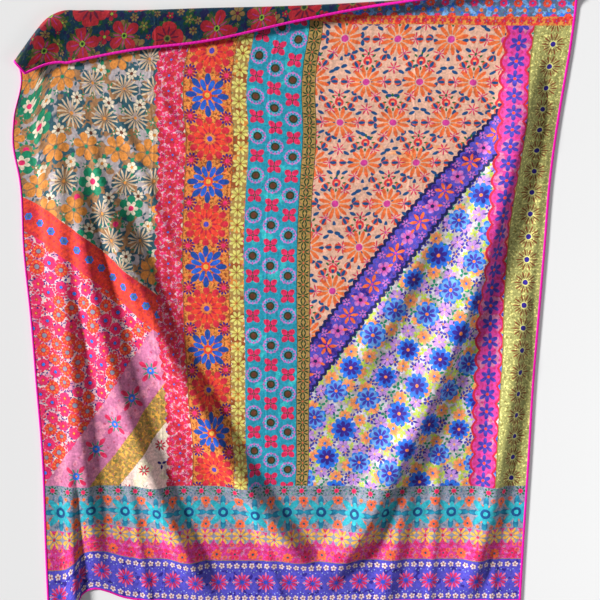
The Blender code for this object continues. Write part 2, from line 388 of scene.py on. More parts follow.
def blanket_piece(points, flat, materials):
    """The cloth as one closed sheet: the middle surface moved half a thickness along
    its normals to each side, and the two joined by a band of faces round the rim."""
    rows, columns = points.shape[:2]
    half = grid_normals(points) * CLOTH_THICKNESS / 2
    layers = np.stack([points + half, points - half])
    count = rows * columns
    row, column = rim_stations(rows, columns)
    rim = row * columns + column
    next_rim = np.roll(rim, -1)
    band = np.stack([next_rim, rim, rim + count, next_rim + count], axis=1)
    front = grid_faces(rows, columns)
    back = grid_faces(rows, columns, count, flip=True)
    faces = np.concatenate([front, back, band])
    slots = np.repeat([0, 1, 0], [len(front), len(back), len(band)])
    piece = mesh_piece("cloth", layers.reshape(-1, 3), faces, materials, slots)
    on_cloth = np.tile(flat.reshape(-1, 2), (2, 1))[faces]
    add_maps(piece, {CLOTH_MAP: on_cloth, "OFBake": bake_map(on_cloth, len(front), len(back))})
    return piece


# The edging

# Stitches of its thread: how far apart, how high, how they slant round the section,
# and how many stations each has
STITCH_PITCH = 0.0030
STITCH_HEIGHT = 0.00035
STITCH_SLANT = 0.6
STATIONS_A_STITCH = 4
# Its section: the length round it, the points of its rounded back, where the corners
# outside and inside are as shares of a leg, and how thick its legs are at their ends
SECTION_LENGTH = 0.012
BACK_POINTS = 6
OUTER_CORNER = 0.6
INNER_CORNER = 0.5
LEG_END = 0.0001
# The rows of its bake map, and the margins of a row as a share of it
THREAD_ROWS = 40
ROW_MARGIN = 0.05
# The shortest reach from the section's middle that the stitches are worked out with
LEAST_REACH = 1e-6


def rim_frame(points):
    """The rim's points, the way in from each along the cloth, and its normal."""
    rows, columns = points.shape[:2]
    row, place = rim_stations(rows, columns)
    in_row, in_place = np.clip(row, 1, rows - 2), np.clip(place, 1, columns - 2)
    at = points[row, place]
    inwards = unit(points[in_row, in_place] - at)
    return at, inwards, grid_normals(points)[row, place]


def spaced(values, lengths, stations):
    """Values round a closed line, given at their lengths along it, at even stations."""
    closed = np.vstack([values, values[:1]])
    even = np.arange(stations) * lengths[-1] / stations
    return np.stack([np.interp(even, lengths, each) for each in closed.T], axis=1)


def edging_section():
    """The edging's closed section: how far in from the rim and up along the normal,
    rounded at the back, with a 1 for the points that carry the thread's stitches."""
    lining = CLOTH_THICKNESS / 2 + CLEARANCE
    outer = lining + EDGING_WALL - STITCH_HEIGHT
    turn = np.linspace(0, np.pi, BACK_POINTS)
    back = [(-outer * np.sin(t), outer * np.cos(t), 1) for t in turn]
    outside, inside = EDGING_LEG * OUTER_CORNER, EDGING_LEG * INNER_CORNER
    top = [(EDGING_LEG, lining + LEG_END, 0), (outside, outer, 1)]
    bottom = [(outside, -outer, 1), (EDGING_LEG, -lining - LEG_END, 0)]
    inner = [(inside, -lining, 0), (-CLEARANCE, 0, 0), (inside, lining, 0)]
    return np.array(top + back + bottom + inner)


def edging_piece(points, material):
    """A thread edging bound over the rim: its section is carried along the rim, and
    its outside rises and falls as a cosine of the length along the rim and of the
    place round the section, so that each stitch lies a little aslant."""
    at, inwards, normal = rim_frame(points)
    steps = np.linalg.norm(np.roll(at, -1, axis=0) - at, axis=1)
    lengths = np.concatenate([[0], np.cumsum(steps)])
    stitches = int(lengths[-1] / STITCH_PITCH)
    stations = stitches * STATIONS_A_STITCH
    at, inwards, normal = (spaced(v, lengths, stations) for v in (at, inwards, normal))
    inwards, normal = unit(inwards), unit(normal)
    section = edging_section()
    corners = len(section)
    around = np.arange(corners) / corners
    along = np.arange(stations)[:, None] / STATIONS_A_STITCH
    slanted = (along + around * STITCH_SLANT) * 2 * np.pi
    wave = np.cos(slanted) * STITCH_HEIGHT * section[:, 2]
    centre_in = np.maximum(section[:, 0], 0)
    out_in, out_up = section[:, 0] - centre_in, section[:, 1]
    reach = np.maximum(np.hypot(out_in, out_up), LEAST_REACH)
    a = section[:, 0] + wave * out_in / reach
    n = section[:, 1] + wave * out_up / reach
    places = at[:, None] + a[..., None] * inwards[:, None] + n[..., None] * normal[:, None]

    s, c = (m.ravel() for m in np.indices((stations, corners)))
    here, there = s * corners, (s + 1) % stations * corners
    c_next = (c + 1) % corners
    faces = np.stack([here + c, here + c_next, there + c_next, there + c], axis=1)
    piece = mesh_piece("thread_edging", places.reshape(-1, 3), faces, [material])

    # One map in metres, and one of rows side by side in the unit square
    s_at = np.stack([s, s, s + 1, s + 1], axis=1)
    c_at = np.stack([c, c + 1, c + 1, c], axis=1) / corners
    metres = np.stack([s_at * lengths[-1] / stations, c_at * SECTION_LENGTH], axis=-1)
    a_row = -(-stations // THREAD_ROWS)
    row = (s // a_row)[:, None]
    up = (row + ROW_MARGIN + (1 - 2 * ROW_MARGIN) * c_at) / THREAD_ROWS
    rows = np.stack([(s_at - row * a_row) / a_row, up], axis=-1)
    add_maps(piece, {THREAD_MAP: metres, "OFBake": rows})
    return piece


# Inks of the prints, as red, green and blue from 0 to 255

INKS = {
    "tan": (193, 146, 98), "ochre": (189, 150, 78), "amber": (238, 150, 58), "orange": (255, 136, 56),
    "fire": (255, 66, 40), "scarlet": (238, 42, 58), "crimson": (214, 20, 66), "wine": (128, 20, 66),
    "brown": (112, 62, 44), "rust": (168, 88, 40), "hot pink": (252, 22, 112),
    "magenta": (222, 52, 158), "mauve": (214, 122, 168), "rose": (242, 146, 182),
    "blush": (247, 196, 208), "peach": (238, 184, 158), "apricot": (255, 172, 116),
    "cream": (243, 226, 198), "shell": (245, 214, 205), "white": (240, 240, 244),
    "lilac": (196, 140, 226), "pale lilac": (214, 208, 222), "violet": (84, 76, 204),
    "indigo": (52, 34, 150), "navy": (30, 34, 96), "cobalt": (26, 78, 204), "azure": (18, 122, 242),
    "sky": (120, 182, 244), "turquoise": (18, 160, 190), "aqua": (40, 196, 208), "teal": (14, 90, 104),
    "deep teal": (10, 68, 84), "slate": (52, 98, 114), "emerald": (18, 146, 112),
    "green": (24, 112, 62), "forest": (30, 74, 44), "mint": (66, 164, 140), "lime": (178, 222, 66),
    "olive": (150, 136, 62), "moss": (180, 178, 104), "yellow": (226, 214, 86),
    "lemon": (244, 236, 140), "gold": (250, 186, 68), "grey": (150, 152, 172), "stone": (190, 178, 182),
    "sea": (2, 66, 98), "ruby": (190, 14, 48), "jade": (10, 150, 104), "marine": (12, 82, 140),
    "flame": (238, 84, 34), "sand": (178, 128, 84), "steel": (96, 124, 158), "black": (20, 18, 28),
}


# How much deeper and how much greyer the inks look in the pile
INK_DEPTH = 1.02
INK_GREY = 0.07


def ink(name):
    """An ink in the pile, as linear light for a shader: its shares of 255 by the
    standard screen curve, deepened, and moved towards their mean."""
    shares = np.array(INKS[name]) / 255
    linear = np.where(shares <= 0.04045, shares / 12.92, ((shares + 0.055) / 1.055) ** 2.4)
    deep = linear**INK_DEPTH
    return (deep + (deep.mean() - deep) * INK_GREY).tolist()


# Flowers of the prints. All lengths are shares of the flower's radius. A circle of
# petals has their count, where they start and end, half their width, their swell, over
# 1 for petals broadest near the tip, and the inks of their base and, where it is another
# one, their tip. Later parts of a flower lie on earlier ones. Flowers sown side by side
# stand side by side in their table, and a table has 32 at most, as a colour ramp does
Petals = namedtuple("Petals", "count near far width swell base tip", defaults=[None])
Disc = namedtuple("Disc", "radius colour")
BARE = Petals(1, 0.0, 0.1, 0.0, 1.0, "black")
NO_DISC = Disc(0.0, "black")
Flower = namedtuple(
    "Flower", "name ring leaves petals inner eye heart",
    defaults=[NO_DISC, BARE, BARE, BARE, NO_DISC, NO_DISC],
)
RING_WIDTH = 0.09

LARGE = [
    Flower("clover", petals=Petals(6, 0.1, 1.0, 0.34, 1.5, "emerald", "jade"),
        inner=Petals(6, 0.1, 0.58, 0.16, 1.3, "cream"), eye=Disc(0.34, "cream"),
        heart=Disc(0.22, "hot pink")),
    Flower("daisy", leaves=Petals(4, 0.2, 1.0, 0.26, 1.0, "slate"),
        petals=Petals(15, 0.06, 0.98, 0.08, 1.6, "tan", "cream"), heart=Disc(0.13, "amber")),
    Flower("marigold", petals=Petals(6, 0.08, 0.98, 0.31, 1.7, "amber"),
        inner=Petals(6, 0.1, 0.6, 0.07, 1.0, "sand"), eye=Disc(0.24, "sand"),
        heart=Disc(0.15, "emerald")),
    Flower("coral rosette", petals=Petals(8, 0.1, 1.0, 0.4, 1.9, "fire"),
        inner=Petals(8, 0.3, 0.86, 0.1, 1.4, "orange"), eye=Disc(0.46, "crimson"),
        heart=Disc(0.34, "grey")),
    Flower("pink rosette", petals=Petals(6, 0.1, 0.92, 0.42, 1.8, "hot pink"),
        eye=Disc(0.42, "crimson"), heart=Disc(0.28, "azure")),
    Flower("rose rosette", leaves=Petals(3, 0.5, 1.0, 0.22, 1.0, "indigo"),
        petals=Petals(5, 0.1, 0.84, 0.42, 1.8, "hot pink"), eye=Disc(0.3, "scarlet"),
        heart=Disc(0.16, "gold")),
    Flower("compass", leaves=Petals(4, 0.36, 1.0, 0.17, 1.3, "crimson", "hot pink"),
        petals=Petals(8, 0.2, 0.64, 0.07, 1.2, "emerald", "mint"), eye=Disc(0.3, "azure"),
        heart=Disc(0.1, "orange")),
    Flower("puff", petals=Petals(9, 0.1, 1.0, 0.24, 1.5, "fire", "orange"),
        heart=Disc(0.22, "scarlet")),
    Flower("star", petals=Petals(8, 0.1, 1.0, 0.17, 1.0, "crimson"), eye=Disc(0.34, "emerald"),
        heart=Disc(0.22, "shell")),
    Flower("dahlia", leaves=Petals(6, 0.66, 1.0, 0.16, 2.4, "flame"),
        petals=Petals(12, 0.12, 0.68, 0.085, 1.5, "orange", "flame"),
        inner=Petals(12, 0.72, 1.0, 0.075, 1.0, "marine"), eye=Disc(0.2, "peach"),
        heart=Disc(0.15, "magenta")),
    Flower("peony", leaves=Petals(11, 0.4, 1.0, 0.2, 2.0, "azure"),
        petals=Petals(6, 0.1, 0.8, 0.36, 1.8, "cobalt", "azure"),
        inner=Petals(7, 0.14, 0.66, 0.17, 1.4, "indigo"), eye=Disc(0.34, "indigo"),
        heart=Disc(0.15, "orange")),
    Flower("pale peony", leaves=Petals(9, 0.4, 1.0, 0.24, 2.0, "azure"),
        petals=Petals(5, 0.1, 0.84, 0.4, 1.8, "azure", "sky"),
        inner=Petals(8, 0.16, 0.7, 0.14, 1.5, "indigo", "violet"), eye=Disc(0.28, "cobalt"),
        heart=Disc(0.15, "orange")),
    Flower("spray", leaves=Petals(3, 0.24, 1.0, 0.19, 1.0, "fire", "orange"),
        petals=Petals(3, 0.15, 0.92, 0.17, 1.0, "orange", "fire"), heart=Disc(0.16, "magenta")),
    Flower("lilac bloom", leaves=Petals(2, 0.3, 1.0, 0.16, 1.0, "fire", "orange"),
        petals=Petals(5, 0.08, 0.72, 0.28, 1.6, "magenta", "lilac"), heart=Disc(0.2, "navy")),
    Flower("bead", petals=Petals(6, 0.0, 1.0, 0.44, 1.3, "azure"), eye=Disc(0.6, "steel"),
        heart=Disc(0.26, "cobalt")),
    Flower("medallion", leaves=Petals(12, 0.62, 1.0, 0.16, 1.3, "scarlet", "crimson"),
        petals=Petals(12, 0.26, 0.74, 0.13, 1.3, "fire"),
        inner=Petals(12, 0.22, 0.52, 0.05, 1.0, "crimson"), eye=Disc(0.24, "orange"),
        heart=Disc(0.13, "violet")),
    Flower("windmill", leaves=Petals(8, 0.44, 0.96, 0.14, 1.2, "cobalt", "marine"),
        petals=Petals(8, 0.16, 0.72, 0.12, 1.4, "cobalt", "azure"), eye=Disc(0.22, "fire"),
        heart=Disc(0.12, "gold")),
    Flower("buttercup", petals=Petals(8, 0.16, 1.0, 0.22, 1.5, "yellow", "lemon"),
        inner=Petals(8, 0.2, 0.55, 0.03, 1.0, "rust"), heart=Disc(0.14, "rust")),
    Flower("dogwood", petals=Petals(4, 0.14, 1.0, 0.36, 0.9, "hot pink", "crimson"),
        inner=Petals(4, 0.18, 0.6, 0.08, 1.0, "forest"), eye=Disc(0.2, "forest"),
        heart=Disc(0.11, "hot pink")),
    Flower("aster", ring=Disc(0.84, "lilac"),
        leaves=Petals(12, 0.56, 1.0, 0.1, 1.3, "lilac", "magenta"), eye=Disc(0.52, "forest"),
        heart=Disc(0.34, "brown")),
    Flower("fern", petals=Petals(8, 0.12, 1.0, 0.15, 1.2, "forest"), heart=Disc(0.14, "fire")),
    Flower("tulip", leaves=Petals(3, 0.1, 1.0, 0.22, 1.2, "indigo", "violet"),
        petals=Petals(3, 0.05, 0.92, 0.26, 1.0, "violet", "indigo"), heart=Disc(0.2, "fire")),
    Flower("sun ray", leaves=Petals(10, 0.4, 0.94, 0.05, 1.0, "rust"),
        petals=Petals(10, 0.3, 1.0, 0.085, 1.2, "brown", "rust"), eye=Disc(0.34, "lemon"),
        heart=Disc(0.25, "indigo")),
    Flower("berry", leaves=Petals(8, 0.4, 1.0, 0.16, 1.0, "green", "forest"),
        eye=Disc(0.48, "hot pink"), heart=Disc(0.26, "crimson")),
    Flower("gold daisy", petals=Petals(8, 0.18, 1.0, 0.2, 1.5, "gold"), heart=Disc(0.18, "crimson")),
    Flower("tile", leaves=Petals(4, 0.34, 1.0, 0.17, 1.0, "marine", "turquoise"),
        petals=Petals(4, 0.1, 0.98, 0.19, 1.0, "aqua", "turquoise"),
        inner=Petals(8, 0.06, 0.62, 0.16, 1.2, "turquoise", "aqua"), eye=Disc(0.3, "marine"),
        heart=Disc(0.14, "aqua")),
    Flower("festoon", leaves=Petals(8, 0.3, 1.0, 0.11, 1.5, "magenta", "rose"),
        petals=Petals(8, 0.16, 0.8, 0.12, 1.5, "crimson", "hot pink"), heart=Disc(0.2, "cobalt")),
    Flower("blossom", petals=Petals(5, 0.15, 1.0, 0.42, 1.6, "shell"), heart=Disc(0.34, "rust")),
    Flower("geranium", petals=Petals(5, 0.06, 1.0, 0.33, 1.4, "crimson", "scarlet"),
        inner=Petals(5, 0.2, 0.6, 0.06, 1.0, "wine"), heart=Disc(0.18, "azure")),
    Flower("poppy", leaves=Petals(5, 0.3, 1.0, 0.2, 1.0, "forest", "green"),
        petals=Petals(5, 0.08, 0.98, 0.46, 1.7, "ruby", "scarlet"),
        inner=Petals(10, 0.2, 0.72, 0.07, 1.0, "wine"), eye=Disc(0.22, "olive"),
        heart=Disc(0.14, "forest")),
    Flower("pinwheel", leaves=Petals(4, 0.2, 0.96, 0.14, 1.0, "olive", "forest"),
        petals=Petals(4, 0.12, 1.0, 0.32, 1.5, "scarlet", "ruby"),
        inner=Petals(8, 0.14, 0.7, 0.05, 1.0, "magenta"), eye=Disc(0.18, "lime"),
        heart=Disc(0.1, "forest")),
]

SMALL = [
    Flower("sun disc", leaves=Petals(9, 0.4, 1.0, 0.19, 1.2, "emerald", "jade"), eye=Disc(0.66, "sand"),
        heart=Disc(0.34, "hot pink")),
    Flower("slate bloom", leaves=Petals(4, 0.3, 1.0, 0.3, 1.1, "slate"),
        petals=Petals(7, 0.1, 0.62, 0.17, 1.5, "cream"), heart=Disc(0.2, "brown")),
    Flower("jade leaf", leaves=Petals(4, 0.3, 1.0, 0.22, 1.1, "emerald", "jade"),
        petals=Petals(5, 0.1, 0.6, 0.26, 1.4, "cream"), heart=Disc(0.18, "amber")),
    Flower("clover leaf", petals=Petals(5, 0.15, 1.0, 0.19, 1.1, "emerald", "jade"),
        heart=Disc(0.26, "cream")),
    Flower("slate leaf", petals=Petals(3, 0.05, 1.0, 0.26, 1.0, "slate")),
    Flower("navy sprig", petals=Petals(3, 0.1, 1.0, 0.2, 1.0, "indigo")),
    Flower("pink bud", petals=Petals(4, 0.05, 1.0, 0.38, 1.4, "hot pink", "scarlet"),
        heart=Disc(0.24, "rose")),
    Flower("wine daisy", petals=Petals(9, 0.12, 1.0, 0.11, 1.2, "wine"), heart=Disc(0.16, "rose")),
    Flower("orange bud", petals=Petals(5, 0.1, 1.0, 0.3, 1.4, "orange", "amber"),
        heart=Disc(0.28, "azure")),
    Flower("navy bell", petals=Petals(3, 0.1, 1.0, 0.28, 1.2, "indigo", "navy"),
        heart=Disc(0.18, "cream")),
    Flower("mint sprig", petals=Petals(5, 0.25, 1.0, 0.12, 1.0, "mint", "green")),
    Flower("red seed", leaves=Petals(8, 0.6, 1.0, 0.12, 1.0, "green"), eye=Disc(0.46, "scarlet"),
        heart=Disc(0.22, "apricot")),
    Flower("teal leaf", petals=Petals(2, 0.06, 1.0, 0.3, 1.0, "marine")),
    Flower("pink fan", petals=Petals(7, 0.1, 1.0, 0.13, 1.3, "hot pink", "crimson"),
        heart=Disc(0.2, "magenta")),
    Flower("orange daisy", leaves=Petals(4, 0.3, 1.0, 0.3, 1.2, "lime"),
        petals=Petals(7, 0.1, 0.92, 0.28, 1.7, "orange", "apricot"), heart=Disc(0.18, "azure")),
    Flower("lilac daisy", leaves=Petals(3, 0.4, 1.0, 0.15, 1.0, "indigo"),
        petals=Petals(6, 0.1, 0.9, 0.28, 1.6, "lilac"), heart=Disc(0.18, "apricot")),
    Flower("green leaf", petals=Petals(3, 0.05, 1.0, 0.3, 1.0, "emerald", "jade")),
    Flower("indigo daisy", petals=Petals(5, 0.12, 1.0, 0.3, 1.5, "indigo", "violet"),
        heart=Disc(0.22, "orange")),
    Flower("lime leaf", petals=Petals(4, 0.05, 1.0, 0.36, 1.2, "lime", "yellow")),
    Flower("blossom sprig", leaves=Petals(4, 0.3, 1.0, 0.14, 1.0, "moss"),
        petals=Petals(5, 0.1, 0.62, 0.3, 1.5, "rose", "magenta"), heart=Disc(0.16, "cream")),
    Flower("lilac star", petals=Petals(6, 0.12, 1.0, 0.24, 1.4, "lilac", "magenta"),
        heart=Disc(0.2, "navy")),
    Flower("plum rosette", leaves=Petals(11, 0.55, 1.0, 0.17, 1.2, "indigo"),
        petals=Petals(9, 0.2, 0.76, 0.16, 1.3, "crimson", "wine"), heart=Disc(0.34, "hot pink")),
    Flower("red bud", petals=Petals(6, 0.1, 1.0, 0.3, 1.3, "scarlet", "fire"),
        heart=Disc(0.24, "wine")),
    Flower("ink speck", petals=Petals(4, 0.4, 1.0, 0.14, 1.0, "teal", "navy")),
    Flower("orange dot", eye=Disc(0.8, "orange"), heart=Disc(0.34, "fire")),
    Flower("white dots", petals=Petals(6, 0.6, 0.96, 0.16, 1.0, "sky", "white")),
    Flower("orange ring", petals=Petals(8, 0.2, 1.0, 0.3, 1.4, "fire", "orange"),
        heart=Disc(0.26, "teal")),
    Flower("rose speck", petals=Petals(5, 0.1, 1.0, 0.32, 1.4, "hot pink", "crimson"),
        heart=Disc(0.22, "teal")),
    Flower("leaf fan", leaves=Petals(7, 0.2, 1.0, 0.24, 1.3, "green", "forest"),
        petals=Petals(5, 0.1, 0.6, 0.18, 1.2, "olive"), heart=Disc(0.14, "lime")),
    Flower("brass flower", petals=Petals(6, 0.1, 1.0, 0.3, 1.5, "olive", "sand"),
        inner=Petals(6, 0.1, 0.6, 0.08, 1.0, "wine"), heart=Disc(0.24, "wine")),
    Flower("ruby bud", leaves=Petals(3, 0.2, 1.0, 0.16, 1.0, "green", "forest"),
        petals=Petals(5, 0.1, 0.8, 0.3, 1.5, "ruby", "crimson"), heart=Disc(0.2, "lime")),
    Flower("lime sprig", petals=Petals(4, 0.2, 1.0, 0.08, 1.0, "moss", "lime")),
]

# How flowers are sown on a panel: in cells of a width and height, with a radius and the
# kinds that take turns, the rows staggered by a share of a cell, each flower moved by up
# to half of scatter of its cell and turned by up to spin turns
Sown = namedtuple("Sown", "width height radius kinds stagger scatter spin", defaults=[0, 0, 0])
# What a panel has in the place of flowers that it goes without
NONE_LARGE = Sown(0.1, 0.1, 0.0001, ("clover",))
NONE_SMALL = Sown(0.1, 0.1, 0.0001, ("sun disc",))

# The ground of a panel: its first and second ink, the size of their patches and the
# second's share, and where it has one a third ink and its share
Ground = namedtuple(
    "Ground", "first second patch second_share third third_share", defaults=[None, 0.0]
)

# The panels of the patchwork, painted in this order. Each runs along its line from start
# to end on the flat cloth and from low to high across it, left of it positive, and has
# main flowers, others between them, and fine ones. Its border is scalloped by a depth at
# a pitch, with a rim of a width and an ink. Where scallops leave a slit with no panel
# below them, the first panel's print and rim ink show
Panel = namedtuple(
    "Panel", "name line low high ground main between fine scallop pitch rim rim_ink",
    defaults=[NONE_LARGE, NONE_SMALL, NONE_SMALL, 0, 1, 0, "black"],
)
LEFT_SLANT = ((-0.30, -0.16), (0.70, 1.107))
RIGHT_SLANT = ((0.40, 0.193), (1.40, 1.574))
# Where the upright bands start and end, and where the level ones end
BANDS_FOOT = 0.300
BANDS_TOP = 1.53
BANDS_END = 1.28


def upright(across):
    """The line of an upright band at a length across."""
    return (across, BANDS_FOOT), (across, BANDS_TOP)


def level(up):
    """The line of a level band at a length up."""
    return (0.0, up), (BANDS_END, up)


